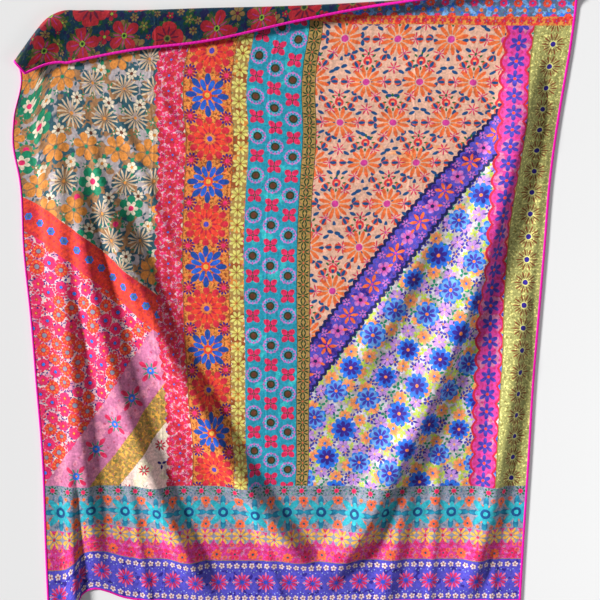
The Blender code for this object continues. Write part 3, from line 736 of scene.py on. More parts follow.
PANELS = [
    Panel("garden", ((0.0, 1.05), (0.42, 1.05)), -0.6, 0.48,
        Ground("sand", "slate", 0.038, 0.32, "stone", 0.32),
        main=Sown(0.072, 0.069, 0.0345, ("clover", "daisy", "marigold"), 0.3, 0.16, 1),
        between=Sown(0.072, 0.069, 0.024, ("sun disc", "slate bloom", "jade leaf"), 0.3, 0.16, 1),
        fine=Sown(0.027, 0.026, 0.0115, ("clover leaf", "slate leaf"), 0.5, 0.3, 1),
        rim_ink="tan"),
    Panel("rosettes", ((-0.4, 1.294), (0.9, 0.306)), -0.8, 0.0,
        Ground("blush", "rose", 0.02, 0.3, "shell", 0.2),
        main=Sown(0.034, 0.032, 0.019, ("coral rosette", "pink rosette", "rose rosette"), 0.5, 0.24, 1),
        between=Sown(0.017, 0.016, 0.0098, ("navy sprig", "pink bud"), 0.5, 0.24, 1),
        fine=Sown(0.017, 0.016, 0.0092, ("navy sprig", "pink bud"), 0.5, 0.3, 1)),
    Panel("mauve ribbon", LEFT_SLANT, -0.045, 0.045,
        Ground("mauve", "rose", 0.03, 0.3),
        main=Sown(0.084, 0.09, 0.034, ("compass",)),
        between=Sown(0.084, 0.2, 0.012, ("orange bud",)),
        fine=Sown(0.021, 0.0225, 0.004, ("rose speck",), 0.5, 0.2, 1)),
    Panel("mauve edge", LEFT_SLANT, 0.036, 0.054,
        Ground("mauve", "rose", 0.03, 0.3),
        fine=Sown(0.0165, 0.09, 0.008, ("wine daisy",)),
        scallop=0.002, pitch=0.0165),
    Panel("ochre ribbon", LEFT_SLANT, -0.104, -0.045,
        Ground("ochre", "gold", 0.01, 0.34, "olive", 0.24),
        main=Sown(0.052, 0.149, 0.0085, ("puff",), spin=1),
        between=Sown(0.03, 0.028, 0.005, ("orange bud",), 0.5, 0.4, 1),
        fine=Sown(0.013, 0.013, 0.004, ("orange bud",), 0.5, 0.4, 1)),
    Panel("cream corner", LEFT_SLANT, -0.6, -0.104,
        Ground("shell", "cream", 0.06, 0.4),
        main=Sown(0.072, 0.064, 0.015, ("star",), 0.5),
        between=Sown(0.072, 0.064, 0.013, ("navy bell", "mint sprig"), 0.5, 0, 0.5),
        fine=Sown(0.024, 0.0213, 0.006, ("mint sprig",), 0.5, 0.3, 1)),
    Panel("dahlias", ((0.69, 1.0), (1.13, 1.0)), -0.78, 0.55,
        Ground("peach", "apricot", 0.09, 0.0),
        main=Sown(0.122, 0.104, 0.058, ("dahlia",), 0.5),
        between=Sown(0.122, 0.104, 0.023, ("red seed",), 0.5),
        fine=Sown(0.0407, 0.0347, 0.0165, ("teal leaf", "pink fan"), 0.5, 0, 1)),
    Panel("peonies", RIGHT_SLANT, -0.9, 0.0,
        Ground("stone", "pale lilac", 0.04, 0.4),
        main=Sown(0.084, 0.08, 0.033, ("peony", "pale peony"), 0.36, 0.22, 1),
        between=Sown(0.042, 0.04, 0.0205, ("orange daisy", "lilac daisy"), 0.36, 0.24, 1),
        fine=Sown(0.021, 0.02, 0.013, ("green leaf", "indigo daisy", "lime leaf"), 0.5, 0.3, 1)),
    Panel("violet ribbon", RIGHT_SLANT, -0.042, 0.042,
        Ground("violet", "indigo", 0.04, 0.24),
        main=Sown(0.046, 0.2, 0.0245, ("spray", "lilac bloom"), spin=0.35),
        between=Sown(0.046, 0.048, 0.0105, ("lilac star",), spin=1),
        fine=Sown(0.0115, 0.012, 0.0042, ("lilac star",), 0.5, 0.2, 1),
        scallop=0.006, pitch=0.017, rim=0.0085, rim_ink="navy"),
    Panel("flame ribbon", ((-0.2, 1.142), (0.42, 0.671)), -0.036, 0.036,
        Ground("fire", "scarlet", 0.08, 0.2),
        main=Sown(0.036, 0.2, 0.01, ("bead",)),
        between=Sown(0.018, 0.022, 0.0052, ("ink speck",), 0.5, 0, 0.5),
        fine=Sown(0.012, 0.0144, 0.0042, ("rose speck",), 0.5, 0.2, 0.5)),
    Panel("garland", upright(0.362), -0.034, 0.034,
        Ground("rose", "blush", 0.008, 0.3, "hot pink", 0.44),
        main=Sown(0.036, 0.034, 0.0178, ("geranium",), 0.5, 0.1, 1),
        between=Sown(0.036, 0.034, 0.01, ("pink bud", "wine daisy"), 0.5, 0.1, 1),
        fine=Sown(0.012, 0.0113, 0.0056, ("pink bud", "wine daisy", "orange bud"), 0.5, 0.2, 1),
        scallop=0.007, pitch=0.027),
    Panel("medallions", upright(0.45), -0.056, 0.056,
        Ground("amber", "rust", 0.007, 0.36, "orange", 0.26),
        main=Sown(0.1, 0.112, 0.052, ("medallion", "windmill")),
        between=Sown(0.1, 0.084, 0.0175, ("plum rosette",), spin=0.1),
        fine=Sown(0.0167, 0.0187, 0.0052, ("red bud", "ink speck"), 0.5, 0.1, 0.5),
        rim=0.003, rim_ink="rust"),
    Panel("buttercups", upright(0.5225), -0.019, 0.019,
        Ground("ochre", "rust", 0.03, 0.3, "amber", 0.2),
        main=Sown(0.037, 0.04, 0.018, ("buttercup",)),
        fine=Sown(0.0123, 0.012, 0.0036, ("lime sprig",), 0.5, 0.2, 0.5),
        scallop=0.005, pitch=0.0185),
    Panel("asters", upright(0.6025), -0.0625, 0.0625,
        Ground("turquoise", "aqua", 0.05, 0.16),
        main=Sown(0.048, 0.0417, 0.0208, ("dogwood", "aster"), 0.5),
        between=Sown(0.048, 0.0417, 0.006, ("ink speck",), 0.5),
        fine=Sown(0.012, 0.0139, 0.003, ("ink speck",), 0.5, 0.2, 1)),
    Panel("fern band", upright(0.681), -0.016, 0.016,
        Ground("ochre", "olive", 0.006, 0.24, "sand", 0.2),
        main=Sown(0.026, 0.033, 0.015, ("fern",)),
        fine=Sown(0.0087, 0.011, 0.004, ("ink speck",), 0.5, 0.2, 1),
        rim=0.002, rim_ink="forest"),
    Panel("tulips", upright(1.15), -0.035, 0.037,
        Ground("magenta", "mauve", 0.03, 0.24),
        main=Sown(0.0435, 0.2, 0.022, ("tulip",)),
        between=Sown(0.0435, 0.062, 0.01, ("red bud",)),
        fine=Sown(0.0145, 0.0124, 0.0042, ("rose speck",), 0.5, 0.2, 1),
        scallop=0.01, pitch=0.0435, rim=0.0065, rim_ink="crimson"),
    Panel("sun rays", upright(1.2285), -0.0465, 0.0475,
        Ground("moss", "olive", 0.006, 0.16, "lemon", 0.2),
        main=Sown(0.054, 0.2, 0.027, ("sun ray",)),
        fine=Sown(0.0135, 0.0135, 0.0034, ("lime sprig",), 0.5, 0.3, 1),
        rim=0.003, rim_ink="olive"),
    Panel("berry border", level(0.293), -0.013, 0.013,
        Ground("grey", "mint", 0.006, 0.2, "steel", 0.2),
        main=Sown(0.044, 0.1, 0.0135, ("berry",)),
        fine=Sown(0.011, 0.013, 0.0062, ("mint sprig",), 0.5, 0.1, 1)),
    Panel("tiles", level(0.238), -0.044, 0.044,
        Ground("grey", "steel", 0.01, 0.24),
        main=Sown(0.086, 0.088, 0.0435, ("tile",)),
        between=Sown(0.086, 0.06, 0.012, ("orange ring",), spin=0.3),
        fine=Sown(0.0172, 0.0176, 0.0062, ("orange dot", "white dots", "orange ring"), 0.5)),
    Panel("pink border", level(0.154), -0.042, 0.041,
        Ground("magenta", "hot pink", 0.012, 0.2, "mauve", 0.16),
        between=Sown(0.046, 0.05, 0.0135, ("orange ring", "rose speck"), spin=0.5),
        fine=Sown(0.0153, 0.0166, 0.0066, ("orange ring", "rose speck"), 0.5, 0.1, 1)),
    Panel("gold border", level(0.176), -0.0205, 0.0205,
        Ground("grey", "mauve", 0.03, 0.3),
        main=Sown(0.045, 0.1, 0.0222, ("gold daisy",)),
        scallop=0.013, pitch=0.0225),
    Panel("violet border", level(0.056), -0.06, 0.058,
        Ground("violet", "indigo", 0.02, 0.16),
        main=Sown(0.062, 0.2, 0.027, ("festoon",)),
        between=Sown(0.062, 0.236, 0.012, ("blossom sprig",)),
        fine=Sown(0.031, 0.034, 0.01, ("white dots",), 0.5),
        rim=0.002, rim_ink="olive"),
    *(
        Panel(name, level(up), -0.012, 0.012,
            Ground("violet", "indigo", 0.02, 0.16),
            main=Sown(0.0194, 0.1, 0.0076, ("blossom",), spin=0.5),
            fine=Sown(0.0078, 0.009, 0.0034, ("lime sprig",), 0.5, 0, 0.5),
            scallop=0.005, pitch=0.031)
        for name, up in (("upper hem", 0.099), ("lower hem", 0.014))
    ),
    Panel("amber border", level(1.46), -0.01, 0.01,
        Ground("amber", "fire", 0.02, 0.34),
        main=Sown(0.02, 0.1, 0.0085, ("geranium",), spin=0.5),
        fine=Sown(0.01, 0.01, 0.004, ("red bud",), 0.5, 0.3, 1)),
    Panel("steel border", level(1.5), -0.03, 0.035,
        Ground("steel", "sky", 0.014, 0.34, "azure", 0.2),
        main=Sown(0.033, 0.033, 0.01, ("coral rosette", "pink rosette"), 0.5, 0, 0.5),
        between=Sown(0.033, 0.033, 0.006, ("orange dot",), 0.5, 0, 0.5),
        fine=Sown(0.011, 0.011, 0.003, ("rose speck",), 0.5, 0.3, 1)),
    Panel("reverse", level(0.0), -1, -0.99,
        Ground("sea", "deep teal", 0.018, 0.36, "navy", 0.26),
        main=Sown(0.104, 0.088, 0.044, ("poppy", "pinwheel"), 0.42, 0.24, 1),
        between=Sown(0.052, 0.044, 0.023, ("leaf fan", "brass flower", "ruby bud"), 0.42, 0.3, 1),
        fine=Sown(0.026, 0.022, 0.0105, ("leaf fan", "brass flower", "ruby bud", "lime sprig"),
            0.5, 0.4, 1)),
]


# Node trees

SOCKETS = {"value": "NodeSocketFloat", "vector": "NodeSocketVector", "colour": "NodeSocketColor"}
# Which sockets of a mix node belong to each kind: the two inputs and the output
MIX_SOCKETS = {
    "value": ("FLOAT", 2, 3, 0),
    "vector": ("VECTOR", 4, 5, 1),
    "colour": ("RGBA", 6, 7, 2),
}


class Value:
    """An output of a node. Arithmetic with it adds math nodes to its tree."""

    def __init__(self, socket):
        self.socket = socket

    def __add__(self, other):
        return maths("ADD", self, other)

    def __radd__(self, other):
        return maths("ADD", other, self)

    def __sub__(self, other):
        return maths("SUBTRACT", self, other)

    def __rsub__(self, other):
        return maths("SUBTRACT", other, self)

    def __mul__(self, other):
        return maths("MULTIPLY", self, other)

    def __truediv__(self, other):
        return maths("DIVIDE", self, other)

    def __rtruediv__(self, other):
        return maths("DIVIDE", other, self)

    def __pow__(self, other):
        return maths("POWER", self, other)


def wired(made, inputs):
    """A node with each of these inputs linked to a value or set to a number."""
    for place, value in inputs.items():
        if isinstance(value, Value):
            made.id_data.links.new(value.socket, made.inputs[place])
        else:
            made.inputs[place].default_value = value
    return made


def node(tree, kind, inputs, **settings):
    """A new node with its settings and its inputs."""
    made = tree.nodes.new(kind)
    for name, setting in settings.items():
        setattr(made, name, setting)
    return wired(made, inputs)


def tree_of(*terms):
    """The tree that holds the first of these terms that is an output."""
    return next(term for term in terms if isinstance(term, Value)).socket.id_data


# Each of these adds one node to the tree of its terms and gives its outputs


def maths(operation, *terms):
    made = node(tree_of(*terms), "ShaderNodeMath", dict(enumerate(terms)), operation=operation)
    return Value(made.outputs[0])


def vectors(operation, *terms):
    made = node(tree_of(*terms), "ShaderNodeVectorMath", dict(enumerate(terms)), operation=operation)
    return Value(made.outputs["Value" if operation in ("DOT_PRODUCT", "LENGTH") else "Vector"])


def scaled(vector, by):
    made = node(tree_of(vector), "ShaderNodeVectorMath", {0: vector, "Scale": by}, operation="SCALE")
    return Value(made.outputs["Vector"])


def joined(*terms):
    made = node(tree_of(*terms), "ShaderNodeCombineXYZ", dict(enumerate(terms)))
    return Value(made.outputs[0])


def parts(vector):
    made = node(tree_of(vector), "ShaderNodeSeparateXYZ", {0: vector})
    return [Value(made.outputs[i]) for i in range(3)]


def share(value, low, high, smooth=False):
    """How far a value is from low to high: 0 up to low, 1 from high on."""
    form, limits = "SMOOTHSTEP" if smooth else "LINEAR", {0: value, 1: low, 2: high}
    tree = tree_of(value, low, high)
    made = node(tree, "ShaderNodeMapRange", limits, interpolation_type=form)
    return Value(made.outputs[0])


def mixed(kind, factor, under, over):
    """A value, vector or colour with another laid over it by a factor."""
    data_type, first, second, result = MIX_SOCKETS[kind]
    inputs = {0: factor, first: under, second: over}
    made = node(tree_of(factor, under, over), "ShaderNodeMix", inputs, data_type=data_type)
    return Value(made.outputs[result])


def noise(vector, scale, detail=2.0):
    """A flat noise texture's value and colour."""
    inputs = {"Vector": vector, "Scale": scale, "Detail": detail}
    made = node(tree_of(vector), "ShaderNodeTexNoise", inputs, noise_dimensions="2D")
    return Value(made.outputs[0]), Value(made.outputs[1])


def bump(height, strength, distance):
    """The normal bent by a height."""
    inputs = {"Strength": strength, "Distance": distance, "Height": height}
    return Value(node(tree_of(height), "ShaderNodeBump", inputs).outputs[0])


def looked_up(at, rows):
    """A table's row by its number, from a colour ramp of even steps: the first three
    entries as a colour and the last as a value. at runs from 0 to 1 over the rows."""
    made = node(tree_of(at), "ShaderNodeValToRGB", {0: at})
    ramp = made.color_ramp
    ramp.interpolation = "CONSTANT"
    for _ in range(len(rows) - 2):
        ramp.elements.new(1.0)
    for i, row in enumerate(rows):
        ramp.elements[i].position = i / len(rows)
        ramp.elements[i].color = row
    return Value(made.outputs[0]), Value(made.outputs[1])


class Group:
    """A shader node group whose inputs and outputs have names."""

    def __init__(self, name, **inputs):
        self.tree = bpy.data.node_groups.new(name, "ShaderNodeTree")
        for title, kind in inputs.items():
            self.tree.interface.new_socket(title, in_out="INPUT", socket_type=SOCKETS[kind])
        self.entry = self.tree.nodes.new("NodeGroupInput")
        self.exit = self.tree.nodes.new("NodeGroupOutput")

    def __getitem__(self, title):
        return Value(self.entry.outputs[title])

    def give(self, kind, title, value):
        self.tree.interface.new_socket(title, in_out="OUTPUT", socket_type=SOCKETS[kind])
        self.tree.links.new(value.socket, self.exit.inputs[title])

    def used(self, tree, **inputs):
        """The outputs of this group, placed in another tree with these inputs."""
        made = node(tree, "ShaderNodeGroup", inputs, node_tree=self.tree)
        return [Value(output) for output in made.outputs]


# The prints

# How soft the edges of the inks are, and how far they stray
SOFT = 0.0009
STRAY = 0.0022
STRAY_SCALE = 110
# How unevenly the inks took, and how many such patches there are in a metre
BLEED = 0.7
BLEED_SCALE = 85
# How much smaller the smallest scattered flower is, for each share of scatter
SHRINK = 0.9
# How much a petal keeps of its base's ink beside its middle line, and the least half
# width that this is worked out with
BASE_BESIDE = 0.35
LEAST_WIDTH = 0.01
# What sets the random cells of one panel off from the next one's
PANEL_STEP = 97
# Added to a whole number before it is divided, so that rounding can't lower the result
WHOLE = 0.01
# The noise levels between which the second and third ink take over in the ground where
# their share is 0, and how much their whole share lowers them
SECOND_LEVELS = (0.70, 0.74)
THIRD_LEVELS = (0.68, 0.72)
SHARE_DROP = 0.5
# How far the reverse is from any border, so that it has no rim
NO_BORDER = 1


def petals_group():
    """One circle of petals at a point given by its radius and turns round the flower:
    the sector's own angle places it along and beside its petal, whose half width is
    that of an ellipse along the petal's share to the power of its swell."""
    g = Group(
        "petals", Radius="value", Turns="value", Shape="vector", Width="value", Swell="value",
        Soft="value",
    )
    count, near, far = parts(g["Shape"])
    sector = maths("FRACT", g["Turns"] * count) - 0.5
    angle = sector / count * math.tau
    along = share(g["Radius"] * maths("COSINE", angle), near, far)
    beside = g["Radius"] * maths("ABSOLUTE", maths("SINE", angle))
    swelled = along ** g["Swell"]
    half_width = maths("SQRT", swelled * (1 - swelled) * 4) * g["Width"]
    g.give("value", "Fill", share(half_width - beside, 0.0, g["Soft"]))
    to_side = beside / maths("MAXIMUM", half_width, LEAST_WIDTH)
    g.give("value", "Along", along * (1 - to_side * BASE_BESIDE))
    return g


def flower_group(name, flowers, petals):
    """A flower at a point in shares of its radius: a ring, leaves, petals, inner
    petals, an eye and a heart, each over the last, with what the table gives them.
    Leaves and inner petals stand between the petals."""
    g = Group(name, Point="vector", Kind="value", Turn="value", Soft="value")
    kind, soft, tree = g["Kind"], g["Soft"], g.tree
    x, y, _ = parts(g["Point"])
    radius = vectors("LENGTH", g["Point"])
    turns = maths("ARCTAN2", y, x) / math.tau + g["Turn"]

    ring, ring_radius = looked_up(kind, [(*ink(f.ring.colour), f.ring.radius) for f in flowers])
    from_ring = maths("ABSOLUTE", radius - ring_radius)
    present = maths("GREATER_THAN", ring_radius, 0.0)
    fill = share(RING_WIDTH - from_ring, 0.0, soft) * present
    colour, mask = ring, fill
    for circle in ("leaves", "petals", "inner"):
        rows = [getattr(f, circle) for f in flowers]
        shape, width = looked_up(kind, [(p.count, p.near, p.far, p.width) for p in rows])
        base, swell = looked_up(kind, [(*ink(p.base), p.swell) for p in rows])
        tip, _ = looked_up(kind, [(*ink(p.tip or p.base), 1) for p in rows])
        at = turns if circle == "petals" else turns + 0.5 / parts(shape)[0]
        fill, along = petals.used(
            tree, Radius=radius, Turns=at, Shape=shape, Width=width, Swell=swell, Soft=soft
        )
        colour = mixed("colour", fill, colour, mixed("colour", along, base, tip))
        mask = maths("MAXIMUM", mask, fill)
    for disc in ("eye", "heart"):
        rows = [getattr(f, disc) for f in flowers]
        paint, disc_radius = looked_up(kind, [(*ink(d.colour), d.radius) for d in rows])
        fill = share(disc_radius - radius, 0.0, soft)
        colour = mixed("colour", fill, colour, paint)
        mask = maths("MAXIMUM", mask, fill)
    g.give("colour", "Colour", colour)
    g.give("value", "Mask", mask)
    return g


def sown_group(name, sowings, flowers, flower, offset):
    """Flowers sown over the panels: the place's cell is its row and column, a random
    number of the cell or its count along the row picks the kind, and the place from
    the cell's middle in shares of the radius goes to the flower."""
    g = Group(name, Place="vector", Panel="value")
    panel, names = g["Panel"], [f.name for f in flowers]
    cells = [(s.width, s.height, s.stagger, s.scatter) for s in sowings]
    sizes = [(s.radius, names.index(s.kinds[0]), len(s.kinds), s.spin) for s in sowings]
    cell, scatter = looked_up(panel, cells)
    width, height, stagger = parts(cell)
    size, spin = looked_up(panel, sizes)
    radius, first, kinds = parts(size)
    along, across, _ = parts(g["Place"])
    up = across / height + (0.5 + offset)
    row = maths("FLOOR", up)
    on = along / width + stagger * row + offset
    column = maths("FLOOR", on)
    cell_number = joined(column, row, panel * PANEL_STEP)
    random = node(g.tree, "ShaderNodeTexWhiteNoise", {"Vector": cell_number})
    chance = Value(random.outputs["Value"])
    jump_on, jump_up, third = parts(Value(random.outputs["Color"]))
    in_turn = maths("FRACT", (column + row + WHOLE) / kinds)
    pick = mixed("value", maths("GREATER_THAN", scatter, 0.0), in_turn, chance)
    kind = (first + maths("FLOOR", pick * kinds) + 0.5) / len(flowers)
    own_radius = radius * (1 - third * scatter * SHRINK)
    x = (on - column - 0.5 - (jump_on - 0.5) * scatter) * width / own_radius
    y = (up - row - 0.5 - (jump_up - 0.5) * scatter) * height / own_radius
    colour, mask = flower.used(
        g.tree, Point=joined(x, y, 0.0), Kind=kind, Turn=spin * third, Soft=SOFT / own_radius
    )
    g.give("colour", "Colour", colour)
    g.give("value", "Mask", mask)
    return g


def panel_group():
    """Lays one panel over the last: the place along and across its line and the
    distance from its border, scalloped by a sine, where that distance is over 0."""
    g = Group(
        "panel", Cloth="vector", Start="vector", Along="vector", Across="vector", Length="value",
        Low="value", High="value", Scallop="value", Pitch="value", Panel="value", Under="vector",
        Below="value",
    )
    off = vectors("SUBTRACT", g["Cloth"], g["Start"])
    along = vectors("DOT_PRODUCT", off, g["Along"])
    across = vectors("DOT_PRODUCT", off, g["Across"])
    wave = maths("ABSOLUTE", maths("SINE", along * math.pi / g["Pitch"])) - 1
    sides = maths("MINIMUM", g["High"] - across, across - g["Low"]) + wave * g["Scallop"]
    edge = maths("MINIMUM", sides, maths("MINIMUM", along, g["Length"] - along))
    inside = maths("GREATER_THAN", edge, 0.0)
    g.give("vector", "Place", mixed("vector", inside, g["Under"], joined(along, across, edge)))
    g.give("value", "Panel", mixed("value", inside, g["Below"], g["Panel"]))
    return g


def patchwork_group(panel):
    """The panel at a place on the front, and the place in it."""
    g = Group("patchwork", Cloth="vector")
    place, index = g["Cloth"], 0.0
    for i, p in enumerate(PANELS[:-1]):
        start, end = np.array(p.line)
        length = float(np.linalg.norm(end - start))
        along = (end - start) / length
        place, index = panel.used(
            g.tree, Cloth=g["Cloth"], Start=(*p.line[0], 0), Along=(*along, 0),
            Across=(-along[1], along[0], 0), Length=length, Low=p.low, High=p.high,
            Scallop=p.scallop, Pitch=p.pitch, Panel=(i + 0.5) / len(PANELS), Under=place, Below=index,
        )
    g.give("vector", "Place", place)
    g.give("value", "Panel", index)
    return g


def print_group():
    """The print at a place in a panel: its mottled ground, then fine flowers, those
    between the main ones, the main ones, and the rim along the panel's border."""
    petals = petals_group()
    large = flower_group("large flower", LARGE, petals)
    small = flower_group("small flower", SMALL, petals)
    main = sown_group("main flowers", [p.main for p in PANELS], LARGE, large, 0.0)
    between = sown_group("flowers between", [p.between for p in PANELS], SMALL, small, 0.5)
    fine = sown_group("fine flowers", [p.fine for p in PANELS], SMALL, small, 0.0)

    g = Group("print", Place="vector", Panel="value")
    place, panel = g["Place"], g["Panel"]
    grounds = [p.ground for p in PANELS]
    first, patch = looked_up(panel, [(*ink(d.first), 1 / d.patch) for d in grounds])
    second, second_share = looked_up(panel, [(*ink(d.second), d.second_share) for d in grounds])
    thirds = [(*ink(d.third or d.first), d.third_share) for d in grounds]
    third, third_share = looked_up(panel, thirds)
    mottle, other = noise(place, patch)
    spread = parts(other)[1]
    colour = first
    for at, levels, part, paint in (
        (mottle, SECOND_LEVELS, second_share, second),
        (spread, THIRD_LEVELS, third_share, third),
    ):
        low, high = (bound - part * SHARE_DROP for bound in levels)
        colour = mixed("colour", share(at, low, high), colour, paint)
    for sown in (fine, between, main):
        flowers, mask = sown.used(g.tree, Place=place, Panel=panel)
        colour = mixed("colour", mask, colour, flowers)
    bleed, _ = noise(place, BLEED_SCALE)
    colour = scaled(colour, 1 + (bleed - 0.5) * BLEED)
    rim_ink, rim = looked_up(panel, [(*ink(p.rim_ink), p.rim) for p in PANELS])
    edge = parts(place)[2]
    colour = mixed("colour", share(rim - edge, 0.0, SOFT), colour, rim_ink)
    g.give("colour", "Colour", colour)
    return g


def strayed(cloth):
    """A place on the cloth moved a little by a noise, as hand-cut edges would be."""
    _, off = noise(cloth, STRAY_SCALE)
    return vectors("ADD", cloth, scaled(vectors("SUBTRACT", off, (0.5, 0.5, 0.5)), STRAY))


# Plush

# Each face: how much of its print's light it gives back, and how its pile shines. The
# reverse's low share is partly painted shade: it darkens the turned lap, where the
# reverse shows, as if it lay in shade
Face = namedtuple("Face", "name shade sheen specular")
FACES = [
    Face("printed front", 0.86, 0.13, 0.14),
    # Painted shade: this low share darkens the reverse on the turned lap
    Face("printed reverse", 0.46, 0.05, 0.14),
]
# The nap's strokes, the clumps of fibre and the fibre's ends: how many there are in a
# metre, the detail of their noise, and how much they lighten and darken the pile
NAP_SCALE, NAP_DETAIL, NAP_LIGHT = 7, 3.0, 0.40
CLUMP_SCALE, CLUMP_DETAIL, CLUMP_LIGHT = 190, 2.0, 0.70
FIBRE_SCALE, FIBRE_DETAIL, FIBRE_LIGHT = 900, 1.0, 0.46
# Soft creases from being packed: their places across and up the cloth, their half
# width, and how much lighter the pile is painted on them, a painted highlight along each
CREASES_ACROSS = (0.318, 0.592, 0.922)
CREASES_UP = (0.392, 0.760, 1.128)
CREASE_WIDTH = 0.0045
CREASE_PAINTED_HIGHLIGHT = 0.13
# How rough the pile is, and how much that varies with the nap
PILE_ROUGHNESS = 0.56
NAP_ROUGHNESS = 0.20
SHEEN_ROUGHNESS = 0.4
# How strongly and how deep the pile bends the normal, and the heights of the fibre's ends
# and of the creases against those of the clumps
PILE_STRENGTH = 0.5
PILE_DEPTH = 0.0012
FIBRE_HEIGHT = 0.6
CREASE_HEIGHT = 0.8


def plush_group():
    """Short pile over a print's colour. Broad strokes of the nap, fine clumps of fibre
    and the fibre's ends lighten and darken it, and the last two bend the normal, as do
    the packing creases. Along the creases the colour is also painted lighter, a painted
    highlight."""
    # Shade scales the pile's colour; on the reverse it is partly painted shade
    g = Group("plush", Cloth="vector", Colour="colour", Shade="value")
    nap, _ = noise(g["Cloth"], NAP_SCALE, NAP_DETAIL)
    clump, _ = noise(g["Cloth"], CLUMP_SCALE, CLUMP_DETAIL)
    fibre, _ = noise(g["Cloth"], FIBRE_SCALE, FIBRE_DETAIL)
    across, up, _ = parts(g["Cloth"])
    creased = 0.0
    for at, places in ((across, CREASES_ACROSS), (up, CREASES_UP)):
        for place in places:
            inside = CREASE_WIDTH - maths("ABSOLUTE", at - place)
            crease = share(inside, 0.0, CREASE_WIDTH, smooth=True)
            creased = maths("MAXIMUM", crease, creased)
    uneven = (nap - 0.5) * NAP_LIGHT + (clump - 0.5) * CLUMP_LIGHT + (fibre - 0.5) * FIBRE_LIGHT
    # Painted highlight: the colour is lightened along the packing creases
    colour = scaled(g["Colour"], (1 + creased * CREASE_PAINTED_HIGHLIGHT + uneven) * g["Shade"])
    g.give("colour", "Colour", colour)
    g.give("value", "Roughness", PILE_ROUGHNESS + (nap - 0.5) * NAP_ROUGHNESS)
    height = fibre * FIBRE_HEIGHT + clump + creased * CREASE_HEIGHT
    g.give("vector", "Normal", bump(height, PILE_STRENGTH, PILE_DEPTH))
    return g


def mapped(tree, name):
    """A place in one of a piece's maps."""
    made = tree.nodes.new("ShaderNodeUVMap")
    made.uv_map = name
    return Value(made.outputs[0])


def new_material(name):
    """A material, and the tree of its nodes."""
    material = bpy.data.materials.new(name)
    material.use_nodes = True
    return material, material.node_tree


def cloth_materials():
    """The front's patchwork and the reverse's one print, which is the last of the
    panels, both on the same plush."""
    patchwork, printed, plush = patchwork_group(panel_group()), print_group(), plush_group()
    materials = []
    for face in FACES:
        material, tree = new_material(face.name)
        cloth = mapped(tree, CLOTH_MAP)
        place = strayed(cloth)
        if face.name == "printed front":
            place, panel = patchwork.used(tree, Cloth=place)
        else:
            place, panel = vectors("ADD", place, (0, 0, NO_BORDER)), 1 - 0.5 / len(PANELS)
        (colour,) = printed.used(tree, Place=place, Panel=panel)
        colour, roughness, normal = plush.used(tree, Cloth=cloth, Colour=colour, Shade=face.shade)
        wired(tree.nodes["Principled BSDF"], {
            "Base Color": colour, "Roughness": roughness, "Normal": normal,
            "Sheen Weight": face.sheen, "Sheen Roughness": SHEEN_ROUGHNESS,
            "Specular IOR Level": face.specular,
        })
        materials.append(material)
    return materials


# The edging's thread: its colour, how light it is between crest and valley and by how
# much a crest is painted lighter and a valley darker, a painted highlight and painted
# shade on the stitches, and its streaks' light, number in a metre round it and detail
THREAD_COLOUR = (0.93, 0.006, 0.46, 1)
THREAD_LIGHT = 0.88
STITCH_PAINTED_SHADING = 0.12
STRAND_LIGHT = 0.7
STRANDS_ROUND = 120
STRAND_SCALE = 6.0
THREAD_STRENGTH = 0.5
THREAD_DEPTH = 0.0003
THREAD_ROUGHNESS = 0.55
THREAD_SPECULAR = 0.2


def thread_group():
    """The edging's thread at a length along it and round it: painted darker in the
    valleys between the stitches and lighter on their crests, a painted shade and painted
    highlight on the stitches' own ridges, and streaked along them by a noise that is
    stretched their way, which bends the normal too."""
    g = Group("thread", Place="vector", Colour="colour")
    along, around, _ = parts(g["Place"])
    stitch = along / STITCH_PITCH + around * (STITCH_SLANT / SECTION_LENGTH)
    crest = maths("COSINE", stitch * math.tau)
    strand, _ = noise(joined(stitch, around * STRANDS_ROUND), STRAND_SCALE)
    # Painted highlight on the stitch crests and painted shade in the valleys between them; the strands
    # are the thread's own tone
    tone_and_painted_shade = THREAD_LIGHT + crest * STITCH_PAINTED_SHADING + (strand - 0.5) * STRAND_LIGHT
    g.give("colour", "Colour", scaled(g["Colour"], tone_and_painted_shade))
    g.give("vector", "Normal", bump(strand, THREAD_STRENGTH, THREAD_DEPTH))
    return g


def thread_material():
    material, tree = new_material("edging thread")
    place = mapped(tree, THREAD_MAP)
    colour, normal = thread_group().used(tree, Place=place, Colour=THREAD_COLOUR)
    wired(tree.nodes["Principled BSDF"], {
        "Base Color": colour, "Normal": normal, "Roughness": THREAD_ROUGHNESS,
        "Specular IOR Level": THREAD_SPECULAR,
    })
    return material


# Camera, light and floor

# The photograph's view: how far the camera stands off, and how far it leans towards
# the top edge from straight above, in degrees
CAMERA_DISTANCE = 2.36
CAMERA_LEAN = 11.5
LENS_MM = 60
SENSOR_MM = 36
# The window's light: its strength, width in degrees, place and colour
WINDOW_LIGHT = 7.1
WINDOW_WIDTH = 11
WINDOW_AT = (-7.0, 2.2, 2.9)
WINDOW_COLOUR = (1.0, 0.985, 0.96)
# The fill's: its strength, size, place and target
FILL_LIGHT = 17
FILL_SIZE = 1.2
FILL_AT = (2.4, -0.6, 1.6)
FILL_TARGET = (1.2, -0.2, 0)
# The surround's strength as light and as it is seen, and its colour
SURROUND_LIGHT = 0.18
SURROUND_SEEN = 0.86
SURROUND_COLOUR = (0.93, 0.96, 1.0, 1)
# The floor's size to each side, and its finish
FLOOR_REACH = 40.0
FLOOR_COLOUR = (0.77, 0.775, 0.785, 1)
FLOOR_ROUGHNESS = 0.8
FLOOR_SPECULAR = 0.1


def aim(thing, at, target, upward=(0, 1, 0)):
    """Turns a light or camera so that it looks from one point to another."""
    look = unit(np.subtract(target, at))
    side = unit(np.cross(look, upward))
    up = np.cross(side, look)
    matrix = np.eye(4)
    matrix[:3, 0], matrix[:3, 1], matrix[:3, 2], matrix[:3, 3] = side, up, -look, at
    thing.matrix_world = Matrix(matrix.tolist())


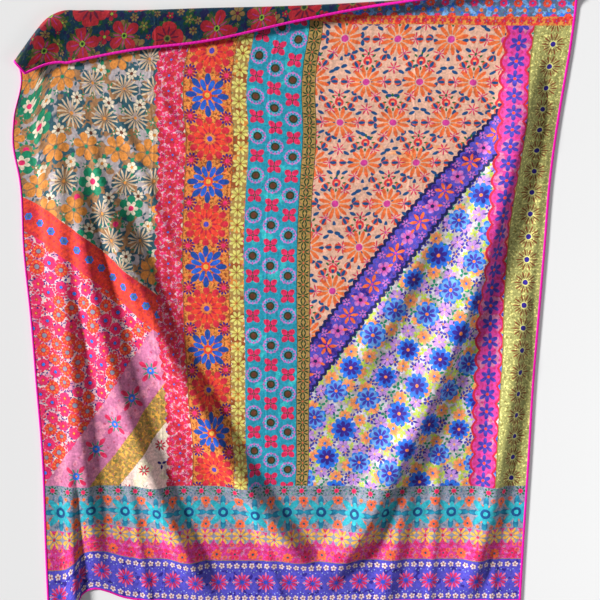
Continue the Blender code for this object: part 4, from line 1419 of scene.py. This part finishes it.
def camera(centre):
    """The camera over the photograph's centre, leaning from straight above it."""
    lean = math.radians(CAMERA_LEAN)
    offset = np.array([0, math.sin(lean), math.cos(lean)]) * CAMERA_DISTANCE
    data = bpy.data.cameras.new("camera")
    data.lens, data.sensor_width = LENS_MM, SENSOR_MM
    view = in_scene("camera", data)
    target = np.array([*centre, 0.0])
    aim(view, target + offset, target)
    bpy.context.scene.camera = view


def light(name, kind, at, target, power, size, colour=(1, 1, 1)):
    """A light of a kind that shines from one point to another: an area light has its
    size in metres, a distant one its width in degrees."""
    data = bpy.data.lights.new(name, kind)
    data.energy, data.color = power, colour
    if kind == "AREA":
        data.shape, data.size = "DISK", size
    else:
        data.angle = math.radians(size)
    aim(in_scene(name, data), at, target, (0, 0, 1))


def studio():
    """A wide distant window low on the left, a weak fill on the right, and a dim
    surround that a camera sees as a pale one."""
    world = bpy.data.worlds.new("studio")
    bpy.context.scene.world = world
    world.use_nodes = True
    tree = world.node_tree
    seen = Value(tree.nodes.new("ShaderNodeLightPath").outputs["Is Camera Ray"])
    strength = mixed("value", seen, SURROUND_LIGHT, SURROUND_SEEN)
    wired(tree.nodes["Background"], {"Color": SURROUND_COLOUR, "Strength": strength})
    light("window", "SUN", WINDOW_AT, (0, 0, 0), WINDOW_LIGHT, WINDOW_WIDTH, WINDOW_COLOUR)
    light("fill", "AREA", FILL_AT, FILL_TARGET, FILL_LIGHT, FILL_SIZE)
    bpy.context.scene.view_settings.view_transform = "Standard"


def floor():
    """A wide plain floor whose top is the surface that the blanket lies on."""
    material, tree = new_material("floor")
    wired(tree.nodes["Principled BSDF"], {
        "Base Color": FLOOR_COLOUR, "Roughness": FLOOR_ROUGHNESS,
        "Specular IOR Level": FLOOR_SPECULAR,
    })
    corners = np.array([(-1, -1, 0), (1, -1, 0), (1, 1, 0), (-1, 1, 0)]) * FLOOR_REACH
    piece = mesh_piece("floor", corners, np.array([[0, 1, 2, 3]]), [material])


def main():
    points, flat = sheet_grid()
    # The photograph's centre is at x = y = 0 until the cloth is moved to the middle
    centre = shift_to_middle(points)
    points[..., :2] += centre
    studio()
    camera(centre)
    floor()
    cloth = blanket_piece(points, flat, cloth_materials())
    edging = edging_piece(points, thread_material())
    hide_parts("blanket")
    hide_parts("edging")
    for piece in (cloth, edging):
        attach(piece, "root")


main()
